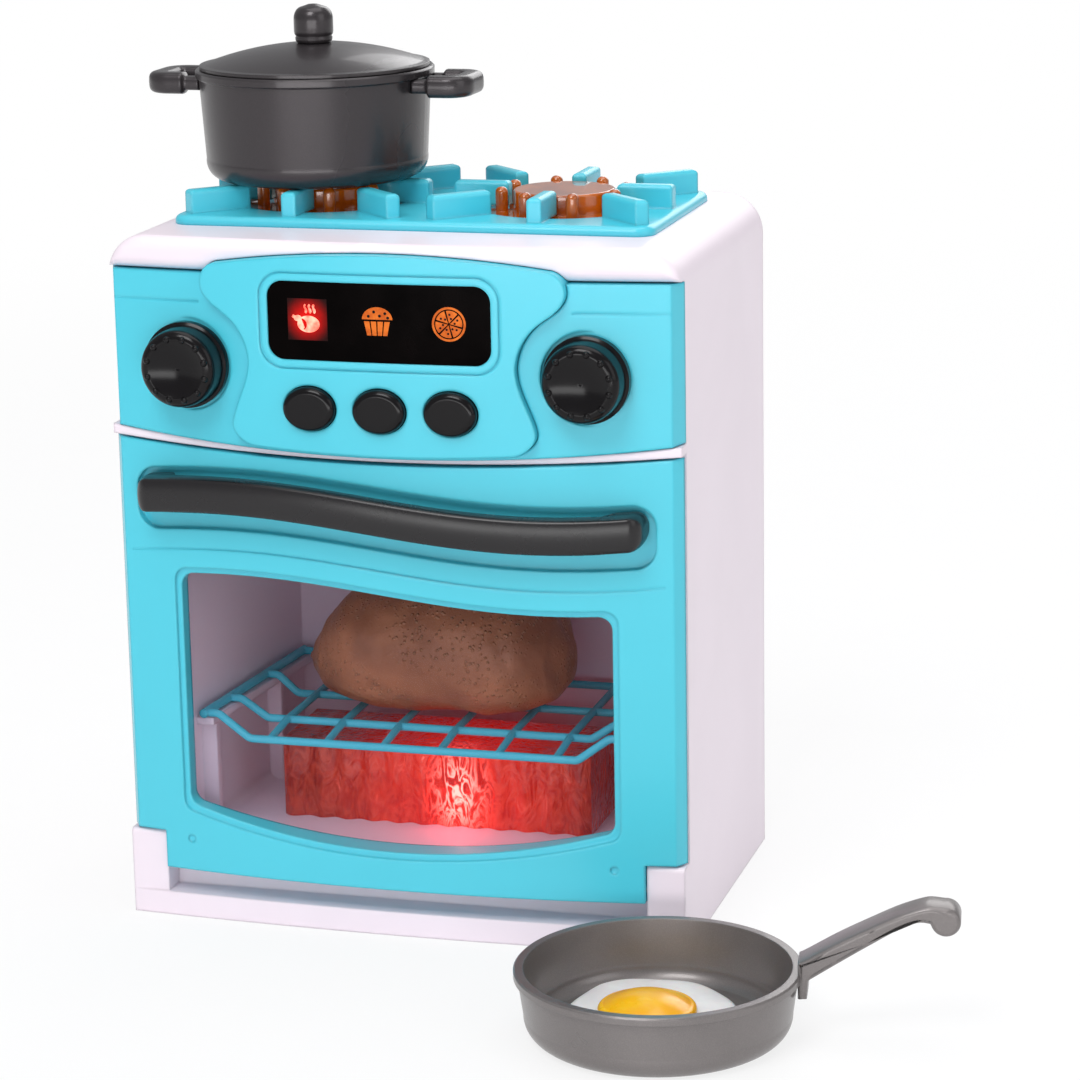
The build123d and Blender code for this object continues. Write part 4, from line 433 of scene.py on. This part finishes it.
# ---------------------------------------------------------------- door handle with rounded edges
HANDLE_HALF = 94.0
FOOT_INNER = 82.0
BOW_SPAN = 106.0  # half width over which the door's front bows by DOOR_BOW
DOOR_BOW = 8.5
BAR_FRONT, BAR_FRONT_BOW = -80.64, 8.36
BAR_BACK, BAR_BACK_BOW = -73.64, 7.36
FOOT_BACK = -64.8
WAVE_LEVEL, WAVE_RISE, WAVE_CREST, WAVE_LENGTH = 160.5, 4.5, -57.0, 117.0
END_ROUND, TIP_ROUND, TIP_HALF = 5.0, 4.5, 2.2
BAR_CORNER = 3.1
FLATTEN = 1.6  # how soon the section's round corner turns into its flat side


def rounded_off(left, radius):
    """Share of a corner of this radius that is still open, at this distance from its end."""
    gone = 1 - min(max(left, 0.0), radius) / radius
    return (1 - gone * gone) ** 0.5


def handle_form(work):
    """Bar of even height along the wave, with soft edges, blended into its foot at each end."""
    along, around = 260, 48
    rows = []
    for i in range(along + 1):
        x = -HANDLE_HALF * cos(pi * i / along)
        left = HANDLE_HALF - abs(x)
        middle = WAVE_LEVEL + WAVE_RISE * cos(pi * (x - WAVE_CREST) / WAVE_LENGTH)
        front = BAR_FRONT - BAR_FRONT_BOW * (1 - (x / HANDLE_HALF) ** 2)
        front += END_ROUND * (1 - rounded_off(left, END_ROUND))
        bar_back = BAR_BACK - BAR_BACK_BOW * (1 - (x / FOOT_INNER) ** 2)
        foot_back = FOOT_BACK - DOOR_BOW * (1 - (x / BOW_SPAN) ** 2)
        foot = ease(min(1.0, max(0.0, (abs(x) - FOOT_INNER + 3.0) / 4.0)))
        back = bar_back + (foot_back - bar_back) * foot
        tall = TIP_HALF + TIP_ROUND * rounded_off(left, TIP_ROUND)
        deep = (back - front) / 2
        corner = min(BAR_CORNER, tall * 0.9, deep * 0.9)
        row = []
        for j in range(around):
            turn = 2 * pi * (j + 0.5) / around
            across, upright = cos(turn), sin(turn)
            out_y = (deep - corner) * max(-1.0, min(1.0, across * FLATTEN)) + corner * across
            out_z = (tall - corner) * max(-1.0, min(1.0, upright * FLATTEN)) + corner * upright
            row.append(work.verts.new((x, (front + back) / 2 + out_y, middle + out_z)))
        rows.append(row)
    skin(work, rows)


handle = piece("door_handle_form", mesh_from("door_handle_form", handle_form), "door", "dark_plastic", HANDLE_LIGHTENED_DARK)
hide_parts("door_handle")

# ---------------------------------------------------------------- pot loops, lid knob and egg white
POT_X, POT_Y = -48.8, 2.5


def lathe(work, x, y, profile, count=72):
    """Turned body: the profile's (radius, height) points carried round the upright axis at (x, y)."""
    rows = []
    for radius, z in profile:
        if radius < 0.01:
            rows.append([work.verts.new((x, y, z))])
        else:
            turns = [2 * pi * k / count for k in range(count)]
            rows.append([work.verts.new((x + radius * cos(turn), y + radius * sin(turn), z)) for turn in turns])
    for low, high in zip(rows, rows[1:]):
        for k in range(count):
            m = (k + 1) % count
            if len(low) == 1:
                work.faces.new((low[0], high[m], high[k]))
            elif len(high) == 1:
                work.faces.new((low[k], low[m], high[0]))
            else:
                work.faces.new((low[k], low[m], high[m], high[k]))


LOOP_ROOT, LOOP_REACH, LOOP_HALF, LOOP_BEND, LOOP_LEVEL = 41.3, 58.7, 10.4, 5.0, 303.1
LOOP_STEP = 0.5
LOOP_AROUND = 28
LOOP_SQUARENESS = 0.62  # power that turns the round section into a soft square


def loop_grip(side):
    """Loop on the pot's side: thin roots, thick arms and crossbar with soft corners."""
    root, reach, wide, bend = LOOP_ROOT, LOOP_REACH, LOOP_HALF, LOOP_BEND
    path = [(root + LOOP_STEP * k, -wide) for k in range(int((reach - bend - root) / LOOP_STEP) + 1)]
    path += [
        (reach - bend + bend * sin(radians(a)), -wide + bend - bend * cos(radians(a))) for a in range(0, 90, 9)
    ]
    path += [(reach, -wide + bend + k * (wide - bend) / 6) for k in range(6)] + [(reach, 0.0)]
    path += [(u, -v) for u, v in reversed(path[:-1])]

    def build(work):
        rows = []
        for k, (u, v) in enumerate(path):
            u0, v0 = path[max(k - 1, 0)]
            u1, v1 = path[min(k + 1, len(path) - 1)]
            along = Vector((u1 - u0, v1 - v0)).normalized()
            out = Vector((along.y, -along.x))
            thick = ease(min(1.0, max(0.0, (u - 46.6) / 1.2)))
            half_wide = 2.7 + 1.5 * thick
            half_tall = 2.6 + 1.4 * thick
            row = []
            for j in range(LOOP_AROUND):
                turn = 2 * pi * j / LOOP_AROUND
                c, d = cos(turn), sin(turn)
                w = half_wide * (abs(c) ** LOOP_SQUARENESS) * (1 if c >= 0 else -1)
                h = half_tall * (abs(d) ** LOOP_SQUARENESS) * (1 if d >= 0 else -1)
                row.append(work.verts.new((POT_X + side * (u + out.x * w), POT_Y + v + out.y * w, LOOP_LEVEL + h)))
            rows.append(row)
        skin(work, rows)

    return build


for side, name in ((-1, "left"), (1, "right")):
    grip = piece(f"pot_{name}_loop", mesh_from(f"pot_{name}_loop", loop_grip(side)), "pot_set", "pot_plastic")
    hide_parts(f"pot_{name}_handle")

LID_KNOB = [(0.0, 317.25), (5.4, 317.25), (6.3, 317.6), (6.8, 318.5), (6.85, 319.4), (6.6, 319.75), (6.65, 320.1)]
LID_KNOB += [(7.1, 320.7), (7.25, 321.6), (7.25, 326.0)]
LID_KNOB += [(4.0 + 3.25 * cos(radians(a)), 326.0 + 4.6 * sin(radians(a))) for a in range(10, 81, 10)]
LID_KNOB += [(3.2, 330.95), (1.8, 331.45), (0.0, 331.65)]
knob_mesh = mesh_from("lid_knob_form", lambda work: lathe(work, POT_X, POT_Y, LID_KNOB))
knob = piece("lid_knob_form", knob_mesh, "lid", "pot_plastic")
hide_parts("lid_knob")


EGG_X, EGG_Y = 107.4, -132.4
EGG_REACH = 31.0  # mean distance of the white's edge from its middle
EGG_EDGE_LEVEL, EGG_UNDERSIDE = 2.35, 2.22


def egg_form(work):
    """Thin white with a wandering, rounded edge, a little thicker towards the yolk."""
    rings, around = 26, 168
    rows = []
    for k in range(rings + 1):
        u = k / rings
        row = []
        for j in range(around):
            turn = 2 * pi * j / around
            edge = EGG_REACH + 2.2 * cos(turn + 0.2) + 2.4 * cos(2 * turn - 2.3) + 2.2 * cos(3 * turn + 0.5)
            edge += 1.0 * cos(5 * turn + 1.0) + 0.5 * cos(8 * turn + 2.0)
            edge += 4.0 * max(0.0, -cos(turn + 0.35)) ** 2
            x, y = EGG_X + edge * u * cos(turn), EGG_Y + edge * u * sin(turn)
            dome = 2.5 * (1 - u**2.4) ** 0.5 + 0.6 * (1 - u) if k < rings else 0.0
            wave = 0.25 * noise.noise(Vector((x, y, 0)) * 0.09) * (1 - u)
            row.append(work.verts.new((x, y, EGG_EDGE_LEVEL + max(dome + wave, 0.0))))
        rows.append(row)
    for a, b in zip(rows, rows[1:]):
        for j in range(around):
            m = (j + 1) % around
            work.faces.new((a[j], b[j], b[m], a[m]))
    bmesh.ops.remove_doubles(work, verts=work.verts, dist=0.002)
    base = [work.verts.new((v.co.x, v.co.y, EGG_UNDERSIDE)) for v in rows[-1]]
    for j in range(around):
        m = (j + 1) % around
        work.faces.new((rows[-1][j], base[j], base[m], rows[-1][m]))
    work.faces.new(base)


white_of_egg = piece("egg_white_form", mesh_from("egg_white_form", egg_form), "egg", "egg_white_vinyl")
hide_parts("egg_white")

# ---------------------------------------------------------------- pan handle
PAN_X, PAN_Y, PAN_TURN = 114.1, -141.0, 8.4
PAN_RADIUS, PAN_RIM = 49.0, 24.0
CURL = (47.8, 20.0)
CURL_RADIUS = 5.0
HANDLE_LOWER = [(-1.4, -8.5), (1.7, -8.5), (2.2, -2.0), (12.0, 4.4)]
HANDLE_LOWER += [(22.4, 11.0), (32.3, 17.0), (38.5, 19.5), (42.6, 19.3)]
HANDLE_UPPER = [(44.2, 25.35), (40.6, 25.1), (32.3, 22.2), (22.4, 17.4), (12.0, 12.0), (2.2, 6.2), (-1.4, 4.2)]
# (place across the handle, how far the outline is drawn in there)
SIDE_STEPS = [(-6.6, 1.5), (-6.4, 0.8), (-5.9, 0.3), (-5.1, 0.0), (5.1, 0.0), (5.9, 0.3), (6.4, 0.8), (6.6, 1.5)]


def smooth_through(points, steps):
    """Points along a smooth curve through the given ones."""
    made = []
    for k in range(len(points) - 1):
        p0, p1, p2, p3 = (points[max(k - 1, 0)], points[k], points[k + 1], points[min(k + 2, len(points) - 1)])
        for j in range(steps):
            t = j / steps
            made.append(tuple(curve_between(a, b, c, d, t) for a, b, c, d in zip(p0, p1, p2, p3)))
    return made + [points[-1]]


def pan_handle_form(work):
    """Curled handle with rounded edges, and its short root tab against the pan's wall."""
    angles = [radians(a) for a in range(205, 456, 10)]
    curl = [(CURL[0] + CURL_RADIUS * cos(a), CURL[1] + CURL_RADIUS * sin(a)) for a in angles]
    outline = HANDLE_LOWER[:2] + smooth_through(HANDLE_LOWER[2:], 6) + curl + smooth_through(HANDLE_UPPER, 6)
    count = len(outline)
    turn = radians(PAN_TURN)
    rows = []
    for side, inset in SIDE_STEPS:
        row = []
        for k, (s, z) in enumerate(outline):
            s0, z0 = outline[k - 1]
            s1, z1 = outline[(k + 1) % count]
            along = Vector((s1 - s0, z1 - z0)).normalized()
            s_in, z_in = s - along.y * inset, z + along.x * inset
            reach = PAN_RADIUS + s_in
            x = PAN_X + reach * cos(turn) + side * sin(turn)
            y = PAN_Y + reach * sin(turn) - side * cos(turn)
            row.append(work.verts.new((x, y, PAN_RIM + z_in)))
        rows.append(row)
    for a, b in zip(rows, rows[1:]):
        for k in range(count):
            m = (k + 1) % count
            work.faces.new((a[k], b[k], b[m], a[m]))
    ends = [work.faces.new(rows[0]), work.faces.new(rows[-1][::-1])]
    bmesh.ops.triangulate(work, faces=ends)


pan_grip = piece("pan_handle_form", mesh_from("pan_handle_form", pan_handle_form), "pan", "pan_plastic")
across = Vector((sin(radians(PAN_TURN)), -cos(radians(PAN_TURN)), 0.0))
for face in pan_grip.data.polygons:
    if abs(face.normal.dot(across)) > 0.98:
        face.use_smooth = False
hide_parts("pan_handle")

# ---------------------------------------------------------------- display icons
LENS_FACE = -70.4


def lens_front(x):
    return LENS_FACE - DOOR_BOW * (1 - (x / BOW_SPAN) ** 2)


def disc(x, z, radius, tall=None, start=0, stop=360, count=28):
    """Outline of a disc, ellipse or sector."""
    tall = radius if tall is None else tall
    whole = stop - start >= 360
    steps = count if whole else count + 1
    angles = [radians(start + (stop - start) * k / count) for k in range(steps)]
    outline = [(x + radius * cos(angle), z + tall * sin(angle)) for angle in angles]
    return outline if whole else outline + [(x, z)]


def ribbon(points, half):
    """Outline of a line of even width through the points."""
    edge_a, edge_b = [], []
    for k, (x, z) in enumerate(points):
        x0, z0 = points[max(k - 1, 0)]
        x1, z1 = points[min(k + 1, len(points) - 1)]
        along = Vector((x1 - x0, z1 - z0)).normalized()
        edge_a.append((x - along.y * half, z + along.x * half))
        edge_b.append((x + along.y * half, z - along.x * half))
    return edge_a + edge_b[::-1]


def ring(x, z, outer, inner, count=36):
    """Quads of a flat ring."""
    quads = []
    for k in range(count):
        a, b = radians(360 * k / count), radians(360 * (k + 1) / count)
        quads.append([(x + r * cos(t), z + r * sin(t)) for r, t in ((outer, a), (outer, b), (inner, b), (inner, a))])
    return quads


def decal(name, outlines, lift, look, slot="display_plastic"):
    def build(work):
        for outline in outlines:
            corners = [work.verts.new((x, lens_front(x) - lift, z)) for x, z in outline]
            work.faces.new(corners)
        bmesh.ops.triangulate(work, faces=[f for f in work.faces if len(f.verts) > 4])

    return piece(name, mesh_from(name, build), "oven", slot, look, smooth=False)


ORANGE_INK = lit_ink("icon_orange", srgb(196, 86, 24), srgb(232, 118, 38), 0.75)
BLACK_INK = moulded("icon_gap", srgb(6, 3, 3), 0.2, gloss=0.1)
RED_INK = lit_ink("icon_red_lit", srgb(255, 96, 78), srgb(255, 176, 150), 1.6)
UP = 229.5

haze = [(-33.4, UP - 7.4), (-18.6, UP - 7.4), (-18.6, UP + 7.4), (-33.4, UP + 7.4)]
decal("lit_icon_haze", [haze], 0.05, lit_haze("icon_haze"))
bird = [disc(-25.6, UP - 1.6, 4.2, 3.0), disc(-29.6, UP + 0.4, 1.5, 1.1)]
bird += [ribbon([(-31.6, UP + 1.2), (-28.8, UP - 0.2)], 0.55)]
steam = [
    ribbon([(-26.6 + dx + 0.45 * sin(k * 1.25), UP + 2.3 + k * 0.62) for k in range(6)], 0.3) for dx in (0.0, 1.6, 3.2)
]
decal("lit_icon_roast", bird + steam, 0.12, RED_INK)
leg = [(-28.4 + 2.0 * cos(radians(a)), UP - 1.8 + 2.0 * sin(radians(a))) for a in range(-60, 100, 20)]
decal("lit_icon_leg_line", [ribbon(leg, 0.22)], 0.16, lit_haze("icon_leg"))

muffin_top = [disc(0, UP + 0.9, 5.6, 4.4, 0, 180)]
muffin_cup = []
for k in range(4):
    left, right_edge = -4.9 + k * 2.5, -4.9 + k * 2.5 + 2.0
    narrow_left, narrow_right = left * 0.78, right_edge * 0.78
    muffin_cup.append([(left, UP + 0.2), (right_edge, UP + 0.2), (narrow_right, UP - 4.8), (narrow_left, UP - 4.8)])
decal("icon_muffin", muffin_top + muffin_cup, 0.12, ORANGE_INK)
berries = [disc(x, UP + z, 0.55, count=12) for x, z in ((-3.2, 2.0), (-1.2, 3.6), (0.9, 2.2), (2.9, 3.1), (3.9, 1.6))]
decal("icon_muffin_berries", berries, 0.16, BLACK_INK)

PIZZA_X = 26.0


def on_pizza(radius, degrees):
    return PIZZA_X + radius * cos(radians(degrees)), UP + radius * sin(radians(degrees))


slices = [disc(*on_pizza(0.35, 60 * k + 15), 4.5, None, 60 * k - 13, 60 * k + 43, 10) for k in range(6)]
decal("icon_pizza", ring(PIZZA_X, UP, 6.1, 5.3) + slices, 0.12, ORANGE_INK)
toppings = [
    disc(*on_pizza(r, 60 * k + 15 + d), 0.42, count=10)
    for k in range(6)
    for r, d in ((3.4, 10), (2.1, -8))
]
decal("icon_pizza_toppings", toppings, 0.16, BLACK_INK)

# ---------------------------------------------------------------- roast with folds and pimpled skin
ROAST_STATIONS = [
    (-54.3, 1.2, 1.2, 86.0),
    (-51.0, 8.0, 7.0, 87.0),
    (-45.0, 17.5, 14.5, 89.5),
    (-34.0, 26.5, 22.5, 93.5),
    (-18.0, 31.0, 25.8, 95.0),
    (0.0, 32.5, 26.6, 96.0),
    (17.0, 32.5, 26.4, 95.8),
    (33.0, 28.5, 23.6, 94.2),
    (43.5, 19.0, 17.0, 91.5),
    (48.6, 8.0, 8.5, 89.5),
    (49.8, 1.2, 1.2, 89.0),
]


def station(x):
    """Half depth, half height and middle height of the roast at x, smoothly interpolated."""
    rows = ROAST_STATIONS
    k = max(j for j in range(len(rows) - 1) if rows[j][0] <= x or j == 0)
    k = min(k, len(rows) - 2)
    t = (x - rows[k][0]) / (rows[k + 1][0] - rows[k][0])
    values = []
    for c in (1, 2, 3):
        before, after = rows[max(k - 1, 0)][c], rows[min(k + 2, len(rows) - 1)][c]
        values.append(curve_between(before, rows[k][c], rows[k + 1][c], after, t))
    return values


ROAST_LEFT, ROAST_RIGHT = ROAST_STATIONS[0][0], ROAST_STATIONS[-1][0]
ROAST_Y = -7.5
ROAST_FULLNESS = 0.82  # power that makes the roast's section fuller than an ellipse
RACK_TOP = 70.05


def roast_form(work):
    along, around = 150, 160
    rows = []
    for i in range(along + 1):
        t = i / along
        x = ROAST_LEFT + (ROAST_RIGHT - ROAST_LEFT) * (0.5 - 0.5 * cos(pi * t))
        deep, tall, middle = station(min(max(x, ROAST_LEFT), ROAST_RIGHT))
        row = []
        for j in range(around):
            turn = 2 * pi * j / around
            out = Vector((0, cos(turn), sin(turn)))
            flank = abs(out.y) ** ROAST_FULLNESS * (1 if out.y > 0 else -1)
            belly = abs(out.z) ** (ROAST_FULLNESS if out.z < 0 else 1.0) * (1 if out.z > 0 else -1)
            at = Vector((x, ROAST_Y + 1.05 * deep * flank, middle + tall * belly))
            fold = -0.6 * exp(-((x - 33 + 0.35 * (at.z - 90)) ** 2) / 5.0) * exp(-((at.z - 96) ** 2) / 500.0)
            groove = -1.6 * exp(-((at.y + 6) ** 2) / 14.0) * max(0.0, out.z)
            lump = 1.1 * noise.noise(at * 0.055) + 0.7 * noise.noise(at * 0.13 + Vector((7, 3, 1)))
            creases = -0.8 * max(0.0, noise.noise(Vector((at.x * 0.10, at.y * 0.25, at.z * 0.25))) - 0.15)
            cell = noise.voronoi(at * 0.42)[0][0]
            patch = max(0.0, min(1.0, 0.5 + 2.2 * noise.noise(at * 0.06 + Vector((3, 9, 4)))))
            pimple = 0.32 * max(0.0, 1 - cell * 2.6) * patch
            at += out * (fold + groove + lump + creases + pimple - 0.7) * min(1.0, deep / 12.0)
            at.z = max(at.z, RACK_TOP)
            row.append(work.verts.new(at))
        rows.append(row)
    skin(work, rows)


roast = piece("roast_skin", mesh_from("roast_skin", roast_form), "roast_piece", "roast_vinyl")
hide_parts("roast")

# ---------------------------------------------------------------- floor, world and lamps
floor_mesh = bpy.data.meshes.new("floor")
floor_mesh.from_pydata([(-6, -6, 0), (6, -6, 0), (6, 6, 0), (-6, 6, 0)], [], [(0, 1, 2, 3)])
floor = bpy.data.objects.new("floor", floor_mesh)
scene.collection.objects.link(floor)
floor.location.z = -0.0002
fn = Nodes("floor_paper")
speck = fn.noise(30.0, 3.0, 0.5)
fn.colour(fn.blend(speck, (0.86, 0.86, 0.87, 1), (0.9, 0.9, 0.91, 1)))
fn.set(Roughness=0.7, Specular_IOR_Level=0.2)
paths = fn.add("ShaderNodeLightPath").outputs
mirrored = fn.maths("MAXIMUM", paths["Is Glossy Ray"], paths["Is Transmission Ray"])
seen = fn.maths("MAXIMUM", paths["Is Camera Ray"], mirrored)
paper = fn.add("ShaderNodeEmission")
paper.inputs["Color"].default_value = (1, 1, 1, 1)
both = fn.add("ShaderNodeMixShader")
# white near the part is softened by its shadow, and full further away
from_part = fn.add("ShaderNodeVectorMath", operation="LENGTH")
fn.join(fn.coords, from_part.inputs[0])
whiteness = fn.span(from_part.outputs["Value"], 0.5, 1.6, 0.8, 1.0)
fn.join(fn.maths("MULTIPLY", seen, whiteness), both.inputs[0])
fn.join(fn.shader.outputs[0], both.inputs[1])
fn.join(paper.outputs[0], both.inputs[2])
fn.join(both.outputs[0], fn.output.inputs["Surface"])
floor_mesh.materials.append(fn.material)

world = bpy.data.worlds.new("studio")
scene.world = world
world.use_nodes = True
tree = world.node_tree
tree.nodes.clear()
out = tree.nodes.new("ShaderNodeOutputWorld")
soft = tree.nodes.new("ShaderNodeBackground")
soft.inputs["Color"].default_value = (0.97, 0.98, 1.0, 1)
soft.inputs["Strength"].default_value = 0.42
white = tree.nodes.new("ShaderNodeBackground")
white.inputs["Color"].default_value = (1, 1, 1, 1)
white.inputs["Strength"].default_value = 1.0
ray = tree.nodes.new("ShaderNodeLightPath")
most = tree.nodes.new("ShaderNodeMath")
most.operation = "MAXIMUM"
mixer = tree.nodes.new("ShaderNodeMixShader")
tree.links.new(ray.outputs["Is Camera Ray"], most.inputs[0])
tree.links.new(ray.outputs["Is Transmission Ray"], most.inputs[1])
tree.links.new(most.outputs[0], mixer.inputs[0])
tree.links.new(soft.outputs[0], mixer.inputs[1])
tree.links.new(white.outputs[0], mixer.inputs[2])
tree.links.new(mixer.outputs[0], out.inputs["Surface"])


def area(name, at, aim, size, power, colour=(1, 1, 1)):
    lamp = bpy.data.lights.new(name, "AREA")
    lamp.shape = "RECTANGLE"
    lamp.size, lamp.size_y = size
    lamp.energy = power
    lamp.color = colour
    made = bpy.data.objects.new(name, lamp)
    scene.collection.objects.link(made)
    made.location = at
    made.rotation_euler = (Vector(aim) - Vector(at)).to_track_quat("-Z", "Y").to_euler()
    made.visible_camera = made.visible_transmission = False
    return made


area("key", (-0.15, -1.25, 1.65), (0, 0, 0.15), (0.8, 0.8), 17.0)
area("fill", (1.5, -0.6, 0.8), (0, 0, 0.12), (1.0, 1.2), 4.5)
area("top", (0.1, 0.1, 1.6), (0, 0, 0.2), (1.2, 1.2), 9.0)
area("back", (0.2, 1.5, 0.9), (0, 0, 0.15), (1.2, 0.8), 7.0)
area("front", (0.2, -1.6, 0.14), (0, 0, 0.06), (1.6, 0.3), 7.5)
red = area("glow", (0.012, -0.0345, 0.046), (0.012, -0.06, 0.02), (0.016, 0.012), 0.006, (1.0, 0.06, 0.09))
red.visible_glossy = False
